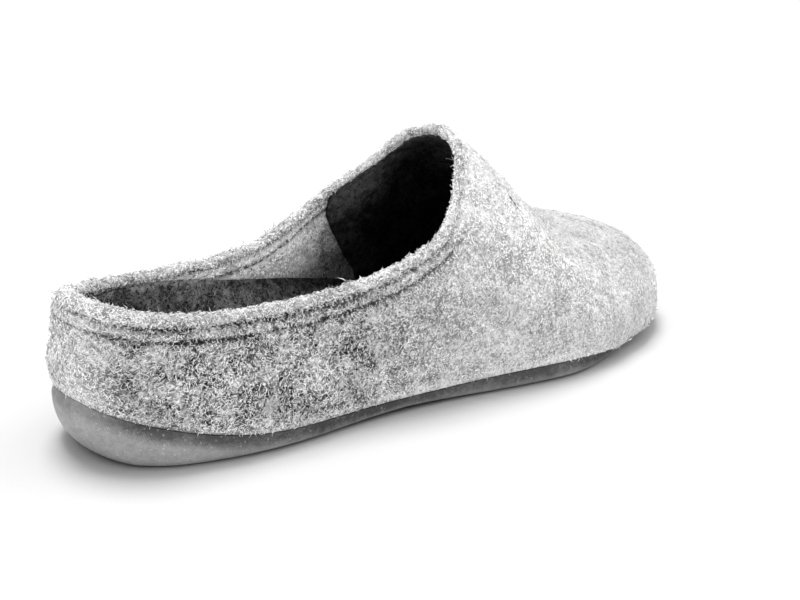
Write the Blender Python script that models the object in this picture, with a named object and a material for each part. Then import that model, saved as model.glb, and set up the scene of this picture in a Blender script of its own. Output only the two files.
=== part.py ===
"""Grey felt house slipper for the right foot: outsole, insole and upper as three closed bodies.

The upper is a hollow shell. A table of ribs goes once round the shoe; each rib is a curve that starts on
the feather line, where felt meets sole, and ends on the collar. The sole and the insole are drawn from the
same ribs, so the three bodies follow one another with a constant gap.
Metres, +X to the toe, +Y to the inner side of the foot, +Z up, origin under the middle of the bounding box.
"""
from collections import namedtuple

import bmesh
import bpy
import numpy as np

MM = 0.001

FELT_WALL = 3.0         # felt of the upper
HEM_WALL = 5.0          # folded and stitched edge of the collar
HEM_DEPTH = 8.0         # full thickness from the collar edge down to here
HEM_BLEND = 18.0        # length over which the hem thins out into the wall
HEM_ROUND = 2.4         # height of the round on the collar edge
GAP = 0.3               # clearance between neighbouring bodies

RIM_OUT = 0.6           # the sole's rim stands this far outside the feather line
BAND_HIGH = 2.9         # smooth band of the sole just under the felt
BAND_DEEP = 0.6         # how far that band lies back
BAND_STEP = 0.5         # height of the step from the band to the bulge
BAND_SHARE = 0.42       # most of the sole's height that the band may take where the sole is thin
BED_MIN = 4.0           # least thickness of the insole
BED_LOW_ROWS = 4        # rows of the insole's side that copy the lowest rows of the wall
BED_ROWS = (0.15, 0.3, 0.45, 0.6, 0.73, 0.86, 1.0)    # rows above those, as shares of the way up

SIDE_RIBS = 40          # ribs on each side of the shoe, heel to toe
FOOT_ROWS = (0.0, 2.0, 4.0, 6.0, 8.0, 10.5, 14.0)   # rows of the wall, up from the feather line
BODY_ROWS = 9           # rows between those and the hem
HEM_ROWS = (16.0, 12.5, 9.5, 7.0, 4.5)    # rows in the hem, measured down from the collar edge
ROUND_ROWS = 5          # rows over the round of the collar edge
SIDE_ROWS = 8           # rows down the bulge of the sole
ALONG_RIB = 72          # samples used to measure a rib's length
ALONG_TURN = 12         # samples over the felt that is turned in under the toes
SINK_MIN = 0.05         # keeps the turned-in part from vanishing where there is none

Rib = namedtuple("Rib", "name foot_x foot_y foot_z collar_x collar_y collar_z "
                        "rise out reach drop belly lift turn sink")

# foot_* is where the side wall ends below and collar_* is on the collar edge. A rib leaves its foot by
# (out, rise), comes square to the collar from (reach, drop), and its middle is moved by (belly, lift).
# Below the foot the felt turns in under the toes by (turn, sink), down to the feather line. Millimetres.
HEEL = Rib("heel back", 1.0, 0.0, 24.7, 1.0, 0.5, 61.9, 10.6, 3.5, 2.1, 20.0, 0.0, 0.0, 0.0, 0.0)
OUTER_SIDE = (
    Rib("heel corner", 8.3, -18.9, 22.2, 10.4, -18.9, 60.2, 13.5, 3.1, 0.8, 15.4, 0.0, 0.0, 0.0, 0.0),
    Rib("heel side", 29.9, -31.1, 15.2, 32.8, -26.7, 55.7, 14.0, 2.5, 0.3, 14.1, 0.0, 0.0, 0.0, 0.0),
    Rib("quarter", 61.9, -36.8, 8.4, 62.4, -29.2, 53.2, 15.0, 2.0, 1.3, 14.1, 0.0, 0.0, 0.0, 0.0),
    Rib("waist", 100.0, -36.0, 6.5, 97.3, -30.8, 53.7, 17.0, 2.0, 2.5, 14.9, 0.0, 0.0, 0.0, 0.0),
    Rib("instep", 135.0, -37.5, 6.3, 129.4, -33.1, 61.7, 20.0, 2.0, 5.5, 13.5, 0.0, 0.0, 0.0, 0.0),
    Rib("ball back", 170.0, -43.5, 7.5, 147.9, -27.7, 75.5, 22.6, 2.3, 7.6, 12.5, 0.5, 5.8, 0.0, 0.0),
    Rib("ball", 199.8, -46.7, 7.2, 156.1, -17.8, 90.9, 33.3, 2.4, 27.4, 20.1, -12.4, -6.3, 0.4, 0.2),
    Rib("toe side", 231.8, -40.6, 6.4, 157.5, -10.0, 96.5, 41.2, 2.3, 40.1, 25.9, -26.7, -21.5, 6.0, 2.2),
    Rib("toe corner", 256.4, -26.8, 8.6, 157.7, -5.2, 97.2, 47.2, 2.1, 43.2, 25.9, -42.0, -35.9, 8.0, 2.6),
)
TOE = Rib("toe tip", 269.6, 4.2, 8.7, 157.6, -1.2, 96.6, 51.0, 1.9, 45.0, 23.2, -55.9, -40.0, 8.0, 2.6)
INNER_SIDE = (
    Rib("heel corner", 8.2, 21.2, 21.0, 11.6, 18.5, 57.3, 13.3, 3.1, 0.9, 15.3, 0.0, 0.0, 0.0, 0.0),
    Rib("heel side", 29.7, 31.4, 16.8, 32.8, 26.3, 53.1, 14.0, 2.5, 0.5, 14.1, 0.0, 0.0, 0.0, 0.0),
    Rib("quarter", 61.9, 32.0, 10.7, 62.1, 27.6, 51.4, 15.0, 2.0, 1.6, 14.0, 0.0, 0.0, 0.0, 0.0),
    Rib("waist", 100.0, 29.9, 7.0, 97.6, 28.5, 54.0, 17.0, 2.0, 2.6, 14.9, 0.0, 0.0, 0.0, 0.0),
    Rib("instep", 135.0, 33.0, 6.4, 128.1, 31.3, 65.8, 20.1, 2.0, 5.3, 13.7, 0.0, 0.0, 0.0, 0.0),
    Rib("ball back", 170.0, 41.0, 6.8, 146.7, 25.5, 77.8, 22.2, 2.3, 5.5, 19.6, 0.8, 5.6, 0.0, 0.0),
    Rib("ball", 200.0, 47.0, 6.7, 154.2, 16.8, 88.7, 32.6, 2.3, 29.2, 17.2, -12.9, -8.9, 0.4, 0.2),
    Rib("toe side", 234.0, 46.1, 6.5, 156.3, 8.0, 93.6, 42.0, 2.3, 41.4, 18.8, -27.8, -31.1, 4.5, 1.8),
    Rib("toe corner", 258.2, 31.0, 7.4, 157.5, 3.0, 95.7, 51.6, 2.1, 43.2, 21.8, -42.8, -42.8, 7.0, 2.4),
)

Station = namedtuple("Station", "x tuck lift")
# Underside of the sole: how far the tread edge is tucked in under the rim, and its height off the floor.
UNDERSIDE = (
    Station(0.0, 12.4, 1.2),
    Station(14.0, 8.6, 0.0),
    Station(28.0, 6.0, 0.0),
    Station(84.0, 5.0, 0.0),
    Station(122.0, 4.4, 1.4),
    Station(158.0, 4.4, 0.0),
    Station(238.0, 4.2, 0.0),
    Station(256.0, 4.0, 0.9),
    Station(270.0, 3.8, 2.6),
)

Bed = namedtuple("Bed", "x edge middle")
# Insole: height of its edge against the wall and of the hollow along its middle.
FOOTBED = (
    Bed(0.0, 50.0, 36.0),
    Bed(14.0, 49.0, 31.5),
    Bed(32.0, 47.0, 29.0),
    Bed(62.0, 43.8, 26.5),
    Bed(93.0, 37.8, 22.5),
    Bed(115.0, 32.6, 18.8),
    Bed(134.0, 28.2, 15.6),
    Bed(150.0, 22.5, 13.2),
    Bed(168.0, 15.5, 11.6),
    Bed(186.0, 11.6, 11.0),
    Bed(240.0, 11.0, 10.8),
    Bed(270.0, 13.2, 12.8),
)

FELT_GREY = (0.46, 0.46, 0.46, 1.0)
INSOLE_GREY = (0.07, 0.07, 0.072, 1.0)
RUBBER_GREY = (0.20, 0.20, 0.20, 1.0)


def periodic_spline(knots, values, period, at):
    """Smooth closed curve through values at knots, read at the places in at."""
    count = len(knots)
    width = np.diff(np.append(knots, knots[0] + period))
    matrix, right = np.zeros((count, count)), np.zeros_like(values)
    for i in range(count):
        before, after, nxt = width[i - 1], width[i], (i + 1) % count
        matrix[i, i - 1] += before
        matrix[i, i] += 2.0 * (before + after)
        matrix[i, nxt] += after
        right[i] = 6.0 * ((values[nxt] - values[i]) / after - (values[i] - values[i - 1]) / before)
    bend = np.linalg.solve(matrix, right)
    at = np.mod(at, period)
    k = np.clip(np.searchsorted(knots, at, side="right") - 1, 0, count - 1)
    nxt, span = (k + 1) % count, width[k]
    b = ((at - knots[k]) / span)[:, None]
    a = 1.0 - b
    curve = ((a ** 3 - a) * bend[k] + (b ** 3 - b) * bend[nxt]) * (span ** 2)[:, None] / 6.0
    return a * values[k] + b * values[nxt] + curve


def ribs_round_the_shoe():
    """Rib columns for every rib of the mesh, heel to toe on the outer side and back on the inner side."""
    rows = (HEEL,) + OUTER_SIDE + (TOE,) + INNER_SIDE[::-1]
    values = np.array([row[1:] for row in rows], float)
    steps = np.linalg.norm(np.roll(values[:, :2], -1, 0) - values[:, :2], axis=1)
    knots, period = np.concatenate([[0.0], np.cumsum(steps)[:-1]]), steps.sum()
    toe = knots[len(OUTER_SIDE) + 1]
    at = np.concatenate([np.linspace(0.0, toe, SIDE_RIBS, endpoint=False),
                         np.linspace(toe, period, SIDE_RIBS, endpoint=False)])
    ribs = periodic_spline(knots, values, period, at)
    ahead = periodic_spline(knots, values[:, :2], period, at + 0.05)
    along = ahead - ribs[:, :2]
    along /= np.linalg.norm(along, axis=1)[:, None]
    outward = np.stack([along[:, 1], -along[:, 0], np.zeros(len(at))], 1)
    ribs[:, 12] = np.maximum(ribs[:, 12], 0.0)
    ribs[:, 13] = np.maximum(ribs[:, 13], SINK_MIN)
    return ribs, outward


def feather_line(ribs, outward):
    """Where the felt meets the sole."""
    return ribs[:, 0:3] - outward * ribs[:, 12:13] - np.array([[0.0, 0.0, 1.0]]) * ribs[:, 13:14]


def rib_curves(ribs, outward):
    """Dense outer face of the upper, its outward normals and each point's distance down from the collar."""
    foot, collar = ribs[:, 0:3], ribs[:, 3:6]
    rise, out, reach, drop, belly, lift, turn, sink = (ribs[:, k][:, None] for k in range(6, 14))
    up = np.array([[0.0, 0.0, 1.0]])
    edge_way = (np.roll(collar, -1, 0) - np.roll(collar, 1, 0)) * (1.0, 1.0, 0.0)
    edge_way /= np.linalg.norm(edge_way, axis=1)[:, None]
    from_collar = np.stack([edge_way[:, 1], -edge_way[:, 0], np.zeros(len(ribs))], 1)
    low = foot + outward * out + up * rise
    high = collar + from_collar * reach - up * drop
    rib_way = (foot - collar) * (1.0, 1.0, 0.0)
    rib_way /= np.maximum(np.linalg.norm(rib_way, axis=1), 1.0)[:, None]
    middle = (low + high) / 2.0 + rib_way * belly + up * lift
    s = np.linspace(0.0, 1.0, ALONG_RIB)[None, :, None]
    weights = ((1 - s) ** 4, 4 * (1 - s) ** 3 * s, 6 * (1 - s) ** 2 * s ** 2, 4 * (1 - s) * s ** 3, s ** 4)
    face = sum(w * p[:, None] for w, p in zip(weights, (foot, low, middle, high, collar)))
    t = np.linspace(0.0, np.pi / 2.0, ALONG_TURN, endpoint=False)[None, :, None]
    turn_in, drop_by = (outward * turn)[:, None], (up * sink)[:, None]
    turned = foot[:, None] - turn_in * (1.0 - np.sin(t)) - drop_by * np.cos(t)
    face = np.concatenate([turned, face], axis=1)
    round_way = np.roll(face, -1, 0) - np.roll(face, 1, 0)
    up_way = np.gradient(face, axis=1)
    normal = np.cross(round_way, up_way)
    normal /= np.linalg.norm(normal, axis=2)[..., None]
    length = np.linalg.norm(np.diff(face, axis=1), axis=2)
    run = np.concatenate([np.zeros((len(face), 1)), np.cumsum(length, axis=1)], axis=1)
    return face, normal, run[:, -1:] - run


def wall_at(down):
    """Thickness of the felt at a distance down from the collar edge."""
    t = np.clip((HEM_DEPTH + HEM_BLEND - down) / HEM_BLEND, 0.0, 1.0)
    return FELT_WALL + (HEM_WALL - FELT_WALL) * t * t * (3.0 - 2.0 * t)


def at_distance(down, field, wanted):
    """Read a field sampled along the ribs at wanted distances down from the collar edge."""
    out = np.empty(wanted.shape + (3,))
    for i in range(len(down)):
        for axis in range(3):
            out[i, :, axis] = np.interp(wanted[i], down[i][::-1], field[i, ::-1, axis])
    return out


def add_rings(bm, rings):
    """Vertices for a list of closed rings of points."""
    return [[bm.verts.new(point * MM) for point in ring] for ring in rings]


def sew(bm, lower, upper):
    """Quads between two rings of the same length."""
    count = len(lower)
    for i in range(count):
        j = (i + 1) % count
        bm.faces.new((lower[i], lower[j], upper[j], upper[i]))


def cap(bm, ring, inside_points, upward):
    """Close a ring with strips from the outer to the inner side; inside_points fills each strip."""
    half, count = len(ring) // 2, len(ring)
    strips = []
    for i in range(1, half):
        fill = [bm.verts.new(point * MM) for point in inside_points(i, count - i)]
        strips.append([ring[i]] + fill + [ring[count - i]])
    faces = []
    for first, second in zip(strips, strips[1:]):
        for k in range(len(first) - 1):
            faces.append((first[k], second[k], second[k + 1], first[k + 1]))
    for k in range(len(strips[0]) - 1):
        faces.append((ring[0], strips[0][k], strips[0][k + 1]))
        faces.append((ring[half], strips[-1][k + 1], strips[-1][k]))
    for face in faces:
        bm.faces.new(face if upward else face[::-1])


def finish(bm, name, colour, rough):
    """Turn a bmesh into a named object with its own material."""
    bmesh.ops.triangulate(bm, faces=bm.faces[:])
    mesh = bpy.data.meshes.new(name)
    bm.to_mesh(mesh)
    bm.free()
    material = bpy.data.materials.new(name)
    material.use_nodes = True
    shader = material.node_tree.nodes["Principled BSDF"]
    shader.inputs["Base Color"].default_value = colour
    shader.inputs["Roughness"].default_value = rough
    mesh.materials.append(material)
    part = bpy.data.objects.new(name, mesh)
    bpy.context.scene.collection.objects.link(part)
    return part


def lerp_points(start, end, count):
    """Points strictly between two ends."""
    return [start + (end - start) * (k + 1.0) / (count + 1.0) for k in range(count)]


def wall_rows(feather, outward, face, normal, down):
    """Rows of the upper's outer face and of its inner face, with the normals they share."""
    length = down[:, :1]
    foot = length - np.array([FOOT_ROWS])
    hem = np.tile(np.array(HEM_ROWS), (len(feather), 1))
    share = np.arange(1, BODY_ROWS + 1) / (BODY_ROWS + 1.0)
    body = foot[:, -1:] + (hem[:, :1] - foot[:, -1:]) * share[None]
    wanted = np.concatenate([foot, body, hem], axis=1)
    outer = at_distance(down, face, wanted)
    facing = at_distance(down, normal, wanted)
    inner = outer - facing * wall_at(wanted)[..., None]
    inner[:, 0] = feather - outward * FELT_WALL
    return outer, inner, facing


def build_upper(face, normal, down, outer, inner):
    """Hollow felt shell: outer rows, round of the collar edge, inner rows, and the foot of the wall."""
    edge = np.full((len(face), 1), HEM_ROUND)
    lip = at_distance(down, face, edge)[:, 0]
    lip_normal = at_distance(down, normal, edge)[:, 0]
    tangent = face[:, -1] - lip
    tangent /= np.linalg.norm(tangent, axis=1)[:, None]
    centre = lip - lip_normal * HEM_WALL / 2.0
    rings = [outer[:, k] for k in range(outer.shape[1])]
    for k in range(ROUND_ROWS):
        turn = np.pi * k / (ROUND_ROWS - 1)
        across, over = np.cos(turn) * HEM_WALL / 2.0, np.sin(turn) * HEM_ROUND
        rings.append(centre + lip_normal * across + tangent * over)
    rings += [inner[:, k] for k in range(inner.shape[1] - 1, -1, -1)]
    bm = bmesh.new()
    rows = add_rings(bm, rings)
    for lower, upper in zip(rows, rows[1:] + rows[:1]):
        sew(bm, lower, upper)
    return finish(bm, "upper", FELT_GREY, 0.95)


def build_outsole(feather, outward):
    """Rubber sole: flange under the felt, recessed band, bulge that tucks under, and the underside."""
    x, top = feather[:, 0], (feather[:, 2] - GAP)[:, None]
    table = np.array(UNDERSIDE)
    tuck = np.interp(x, table[:, 0], table[:, 1])[:, None]
    floor = np.interp(x, table[:, 0], table[:, 2])[:, None]
    plan = feather * (1.0, 1.0, 0.0)
    band = np.minimum(BAND_HIGH, BAND_SHARE * (top - floor))
    up = np.array([[0.0, 0.0, 1.0]])

    def ring(offset, height):
        return plan + outward * offset + up * height

    rings = [ring(-FELT_WALL, top), ring(RIM_OUT - BAND_DEEP, top), ring(RIM_OUT - BAND_DEEP, top - band)]
    shoulder = top - band - BAND_STEP
    for k in range(SIDE_ROWS):
        turn = np.pi / 2.0 * k / (SIDE_ROWS - 1)
        height = floor + (shoulder - floor) * (1.0 - np.sin(turn))
        rings.append(ring(RIM_OUT - tuck * (1.0 - np.cos(turn)), height))
    bm = bmesh.new()
    rows = add_rings(bm, rings)
    for above, below in zip(rows, rows[1:]):
        sew(bm, below, above)
    flange, tread = rings[0], rings[-1]
    cap(bm, rows[0], lambda i, j: lerp_points(flange[i], flange[j], 3), True)
    cap(bm, rows[-1], lambda i, j: lerp_points(tread[i], tread[j], 3), False)
    return finish(bm, "outsole", RUBBER_GREY, 0.7)


def build_insole(feather, outward, inner, facing):
    """Dished felt footbed that follows the inside of the wall."""
    table = np.array(FOOTBED)
    sole_top = feather[:, 2]
    edge = np.maximum(np.interp(feather[:, 0], table[:, 0], table[:, 1]), sole_top + BED_MIN)
    lining = inner - facing * GAP
    lining[:, 0] = inner[:, 0] - outward * GAP + (0.0, 0.0, GAP)
    rings = [lining[:, k] for k in range(BED_LOW_ROWS)]
    row = np.arange(lining.shape[1])
    last = BED_LOW_ROWS - 1.0
    for share in BED_ROWS:
        ring = np.empty((len(feather), 3))
        for i in range(len(feather)):
            edge_row = np.interp(edge[i], np.maximum.accumulate(lining[i, :, 2]), row)
            at = last + (edge_row - last) * share
            ring[i] = [np.interp(at, row, lining[i, :, axis]) for axis in range(3)]
        rings.append(ring)

    def dish(i, j):
        points = []
        for k in range(1, 8):
            t = k / 8.0
            point = rings[-1][i] + (rings[-1][j] - rings[-1][i]) * t
            middle = np.interp(point[0], table[:, 0], table[:, 2])
            sag = (1.0 - abs(2.0 * t - 1.0) ** 2.6)
            point[2] += (min(middle, point[2]) - point[2]) * sag
            points.append(point)
        return points

    bm = bmesh.new()
    rows = add_rings(bm, rings)
    for lower, upper in zip(rows, rows[1:]):
        sew(bm, lower, upper)
    cap(bm, rows[0], lambda i, j: lerp_points(rings[0][i], rings[0][j], 3), False)
    cap(bm, rows[-1], dish, True)
    return finish(bm, "insole", INSOLE_GREY, 0.95)


def settle(parts):
    """Move all bodies so that the origin lies under the middle of their bounding box."""
    points = np.array([v.co for part in parts for v in part.data.vertices])
    low, high = points.min(0), points.max(0)
    shift = -np.array([(low[0] + high[0]) / 2.0, (low[1] + high[1]) / 2.0, low[2]])
    for part in parts:
        for v in part.data.vertices:
            v.co = tuple(np.array(v.co) + shift)
    print("size mm", np.round((high - low) / MM, 2), "shift mm", np.round(shift / MM, 3))
    for part in parts:
        print(part.name, "triangles", len(part.data.polygons))


for old in list(bpy.data.objects):
    bpy.data.objects.remove(old, do_unlink=True)

rib_table, outward_plan = ribs_round_the_shoe()
upper_face, upper_normal, collar_distance = rib_curves(rib_table, outward_plan)
feather = feather_line(rib_table, outward_plan)
outer_rows, inner_rows, row_normals = wall_rows(
    feather, outward_plan, upper_face, upper_normal, collar_distance)
settle([
    build_outsole(feather, outward_plan),
    build_insole(feather, outward_plan, inner_rows, row_normals),
    build_upper(upper_face, upper_normal, collar_distance, outer_rows, inner_rows),
])
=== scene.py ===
# %% [markdown]
# # A grey felt house slipper, seen from its outer heel side
#
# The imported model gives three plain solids: upper, insole and outsole. This lesson dresses them. Each solid
# is replaced by a finer surface drawn from the same table of ribs, so nothing has to be fitted, and then
# the things that make felt look like felt are added: marled wool, pressed-in seams, a fuzzy cut edge and
# loose fibres.

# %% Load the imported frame
import math
from collections import namedtuple

import bpy
import numpy as np
from mathutils import Matrix, Vector


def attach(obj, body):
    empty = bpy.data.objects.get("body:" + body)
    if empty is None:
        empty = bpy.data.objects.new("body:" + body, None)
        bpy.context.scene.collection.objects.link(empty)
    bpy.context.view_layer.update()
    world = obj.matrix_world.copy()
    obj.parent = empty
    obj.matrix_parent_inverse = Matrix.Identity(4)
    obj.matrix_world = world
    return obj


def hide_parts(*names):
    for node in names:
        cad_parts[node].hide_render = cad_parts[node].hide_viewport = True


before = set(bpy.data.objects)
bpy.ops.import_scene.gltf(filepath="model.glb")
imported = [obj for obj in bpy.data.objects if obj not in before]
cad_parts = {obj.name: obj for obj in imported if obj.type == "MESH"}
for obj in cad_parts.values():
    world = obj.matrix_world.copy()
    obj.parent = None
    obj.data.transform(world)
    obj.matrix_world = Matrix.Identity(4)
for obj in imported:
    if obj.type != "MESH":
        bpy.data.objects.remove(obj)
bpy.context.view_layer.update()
MM = 0.001
ORIGIN_SHIFT = np.array([-134.057, -0.609, 0.0])   # from the table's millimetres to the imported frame

# %% [markdown]
# ## The last as a table of ribs
#
# A shoe is drawn over a last. Instead of sections across the foot, the table goes once round the shoe: each
# rib starts on the feather line, where felt meets sole, and climbs to the collar. One smooth closed curve
# through every column of the table gives as many ribs as the mesh needs, and one Bezier curve per rib gives
# the wall. Under the toes the felt turns in before it meets the sole, by the table's last two columns.

# %% Rib table, in millimetres
Rib = namedtuple("Rib", "name foot_x foot_y foot_z collar_x collar_y collar_z "
                        "rise out reach drop belly lift turn sink")

HEEL = Rib("heel back", 1.0, 0.0, 24.7, 1.0, 0.5, 61.9, 10.6, 3.5, 2.1, 20.0, 0.0, 0.0, 0.0, 0.0)
OUTER_SIDE = (
    Rib("heel corner", 8.3, -18.9, 22.2, 10.4, -18.9, 60.2, 13.5, 3.1, 0.8, 15.4, 0.0, 0.0, 0.0, 0.0),
    Rib("heel side", 29.9, -31.1, 15.2, 32.8, -26.7, 55.7, 14.0, 2.5, 0.3, 14.1, 0.0, 0.0, 0.0, 0.0),
    Rib("quarter", 61.9, -36.8, 8.4, 62.4, -29.2, 53.2, 15.0, 2.0, 1.3, 14.1, 0.0, 0.0, 0.0, 0.0),
    Rib("waist", 100.0, -36.0, 6.5, 97.3, -30.8, 53.7, 17.0, 2.0, 2.5, 14.9, 0.0, 0.0, 0.0, 0.0),
    Rib("instep", 135.0, -37.5, 6.3, 129.4, -33.1, 61.7, 20.0, 2.0, 5.5, 13.5, 0.0, 0.0, 0.0, 0.0),
    Rib("ball back", 170.0, -43.5, 7.5, 147.9, -27.7, 75.5, 22.6, 2.3, 7.6, 12.5, 0.5, 5.8, 0.0, 0.0),
    Rib("ball", 199.8, -46.7, 7.2, 156.1, -17.8, 90.9, 33.3, 2.4, 27.4, 20.1, -12.4, -6.3, 0.4, 0.2),
    Rib("toe side", 231.8, -40.6, 6.4, 157.5, -10.0, 96.5, 41.2, 2.3, 40.1, 25.9, -26.7, -21.5, 6.0, 2.2),
    Rib("toe corner", 256.4, -26.8, 8.6, 157.7, -5.2, 97.2, 47.2, 2.1, 43.2, 25.9, -42.0, -35.9, 8.0, 2.6),
)
TOE = Rib("toe tip", 269.6, 4.2, 8.7, 157.6, -1.2, 96.6, 51.0, 1.9, 45.0, 23.2, -55.9, -40.0, 8.0, 2.6)
INNER_SIDE = (
    Rib("heel corner", 8.2, 21.2, 21.0, 11.6, 18.5, 57.3, 13.3, 3.1, 0.9, 15.3, 0.0, 0.0, 0.0, 0.0),
    Rib("heel side", 29.7, 31.4, 16.8, 32.8, 26.3, 53.1, 14.0, 2.5, 0.5, 14.1, 0.0, 0.0, 0.0, 0.0),
    Rib("quarter", 61.9, 32.0, 10.7, 62.1, 27.6, 51.4, 15.0, 2.0, 1.6, 14.0, 0.0, 0.0, 0.0, 0.0),
    Rib("waist", 100.0, 29.9, 7.0, 97.6, 28.5, 54.0, 17.0, 2.0, 2.6, 14.9, 0.0, 0.0, 0.0, 0.0),
    Rib("instep", 135.0, 33.0, 6.4, 128.1, 31.3, 65.8, 20.1, 2.0, 5.3, 13.7, 0.0, 0.0, 0.0, 0.0),
    Rib("ball back", 170.0, 41.0, 6.8, 146.7, 25.5, 77.8, 22.2, 2.3, 5.5, 19.6, 0.8, 5.6, 0.0, 0.0),
    Rib("ball", 200.0, 47.0, 6.7, 154.2, 16.8, 88.7, 32.6, 2.3, 29.2, 17.2, -12.9, -8.9, 0.4, 0.2),
    Rib("toe side", 234.0, 46.1, 6.5, 156.3, 8.0, 93.6, 42.0, 2.3, 41.4, 18.8, -27.8, -31.1, 4.5, 1.8),
    Rib("toe corner", 258.2, 31.0, 7.4, 157.5, 3.0, 95.7, 51.6, 2.1, 43.2, 21.8, -42.8, -42.8, 7.0, 2.4),
)
FELT_WALL, HEM_WALL, HEM_DEPTH, HEM_BLEND, HEM_ROUND = 3.0, 5.0, 8.0, 18.0, 2.4
HEEL_PAD, HEEL_PAD_X = 2.8, (10.0, 36.0)     # the hem is fuller round the back of the heel
THROAT_THIN, THROAT_X = 1.5, (100.0, 140.0)  # and thinner where it crosses the instep
SIDE_COLUMNS = 280          # ribs on each side of the shoe
ALONG_RIB, ALONG_TURN = 150, 16     # samples along a rib, and over the part turned in under the toes
SINK_MIN = 0.05
COLUMNS = 2 * SIDE_COLUMNS
UP = np.array([0.0, 0.0, 1.0])
print("table ribs", len(OUTER_SIDE) + len(INNER_SIDE) + 2, "mesh ribs", COLUMNS)

# %% Smooth closed curve through the table


def unit(vectors):
    """Vectors of length one."""
    return vectors / np.maximum(np.linalg.norm(vectors, axis=-1, keepdims=True), 1e-9)


def smoothstep(low_end, high_end, value):
    """0 below low_end, 1 above high_end, smooth in between."""
    t = np.clip((np.asarray(value) - low_end) / (high_end - low_end), 0.0, 1.0)
    return t * t * (3.0 - 2.0 * t)


def periodic_spline(knots, values, period, at):
    """Smooth closed curve through values at knots, read at the places in at."""
    count = len(knots)
    width = np.diff(np.append(knots, knots[0] + period))
    matrix, right = np.zeros((count, count)), np.zeros_like(values)
    for i in range(count):
        before, after, nxt = width[i - 1], width[i], (i + 1) % count
        matrix[i, i - 1] += before
        matrix[i, i] += 2.0 * (before + after)
        matrix[i, nxt] += after
        right[i] = 6.0 * ((values[nxt] - values[i]) / after - (values[i] - values[i - 1]) / before)
    bend = np.linalg.solve(matrix, right)
    at = np.mod(at, period)
    k = np.clip(np.searchsorted(knots, at, side="right") - 1, 0, count - 1)
    nxt, span = (k + 1) % count, width[k]
    b = ((at - knots[k]) / span)[:, None]
    a = 1.0 - b
    curve = ((a ** 3 - a) * bend[k] + (b ** 3 - b) * bend[nxt]) * (span ** 2)[:, None] / 6.0
    return a * values[k] + b * values[nxt] + curve


print("curve ready")

# %% Ribs for the mesh
SHORT_STEP = 0.05             # along the outline, in mm, for its direction
table = (HEEL,) + OUTER_SIDE + (TOE,) + INNER_SIDE[::-1]
values = np.array([row[1:] for row in table], float)
steps = np.linalg.norm(np.roll(values[:, :2], -1, 0) - values[:, :2], axis=1)
knots, period = np.concatenate([[0.0], np.cumsum(steps)[:-1]]), steps.sum()
toe_knot = knots[len(OUTER_SIDE) + 1]
places = np.concatenate([np.linspace(0.0, toe_knot, SIDE_COLUMNS, endpoint=False),
                         np.linspace(toe_knot, period, SIDE_COLUMNS, endpoint=False)])
ribs = periodic_spline(knots, values, period, places)
along = unit(periodic_spline(knots, values[:, :2], period, places + SHORT_STEP) - ribs[:, :2])
outward = np.stack([along[:, 1], -along[:, 0], np.zeros(COLUMNS)], 1)
foot, collar = ribs[:, 0:3], ribs[:, 3:6]
turn, sink = np.maximum(ribs[:, 12:13], 0.0), np.maximum(ribs[:, 13:14], SINK_MIN)
feather = foot - outward * turn - UP * sink
print("outline of the foot", round(period, 1), "mm")

# %% The wall of the upper: one Bezier curve per rib
rise, out, reach, drop, belly, lift = (ribs[:, k][:, None] for k in range(6, 12))
edge_way = unit((np.roll(collar, -1, 0) - np.roll(collar, 1, 0)) * (1.0, 1.0, 0.0))
from_collar = np.stack([edge_way[:, 1], -edge_way[:, 0], np.zeros(COLUMNS)], 1)
low = foot + outward * out + UP * rise
high = collar + from_collar * reach - UP * drop
middle = (low + high) / 2.0 + unit((foot - collar) * (1.0, 1.0, 0.0)) * belly + UP * lift
s = np.linspace(0.0, 1.0, ALONG_RIB)[None, :, None]
weights = ((1 - s) ** 4, 4 * (1 - s) ** 3 * s, 6 * (1 - s) ** 2 * s ** 2, 4 * (1 - s) * s ** 3, s ** 4)
side_face = sum(w * p[:, None] for w, p in zip(weights, (foot, low, middle, high, collar)))
t = np.linspace(0.0, math.pi / 2.0, ALONG_TURN, endpoint=False)[None, :, None]
turned_in = foot[:, None] - (outward * turn)[:, None] * (1.0 - np.sin(t)) - (UP * sink)[:, None] * np.cos(t)
face = np.concatenate([turned_in, side_face], axis=1)
face_normal = unit(np.cross(np.roll(face, -1, 0) - np.roll(face, 1, 0), np.gradient(face, axis=1)))
run = np.concatenate([np.zeros((COLUMNS, 1)),
                      np.cumsum(np.linalg.norm(np.diff(face, axis=1), axis=2), axis=1)], axis=1)
down = run[:, -1:] - run                      # distance of each sample below the collar edge
rib_length = run[:, -1]


def on_ribs(field, wanted):
    """A field sampled along the ribs, read at wanted distances below the collar edge (columns by rows)."""
    out_field = np.empty(wanted.shape + (3,))
    for i in range(COLUMNS):
        for axis in range(3):
            out_field[i, :, axis] = np.interp(wanted[i], down[i][::-1], field[i, ::-1, axis])
    return out_field


hem_wall = HEM_WALL + HEEL_PAD * smoothstep(HEEL_PAD_X[1], HEEL_PAD_X[0], collar[:, :1])
hem_wall -= THROAT_THIN * smoothstep(THROAT_X[0], THROAT_X[1], collar[:, :1])


def wall_at(below_edge):
    """Thickness of the felt at distances below the collar edge (columns by rows)."""
    return FELT_WALL + (hem_wall - FELT_WALL) * smoothstep(HEM_DEPTH + HEM_BLEND, HEM_DEPTH, below_edge)


print("ribs are", rib_length.min().round(1), "to", rib_length.max().round(1), "mm long")

# %% [markdown]
# ## Helpers for meshes and for uneven felt
#
# Pressed wool is never quite even. A sum of a few dozen plane waves with seeded directions is smooth, has
# no seams and gives the same lumps on every run, so it is used for all unevenness that is real geometry.
# Every piece also gets a UV map made from its own rows and columns, because an automatic unwrap of
# thousands of fibres is slow.

# %% Lumps


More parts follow.
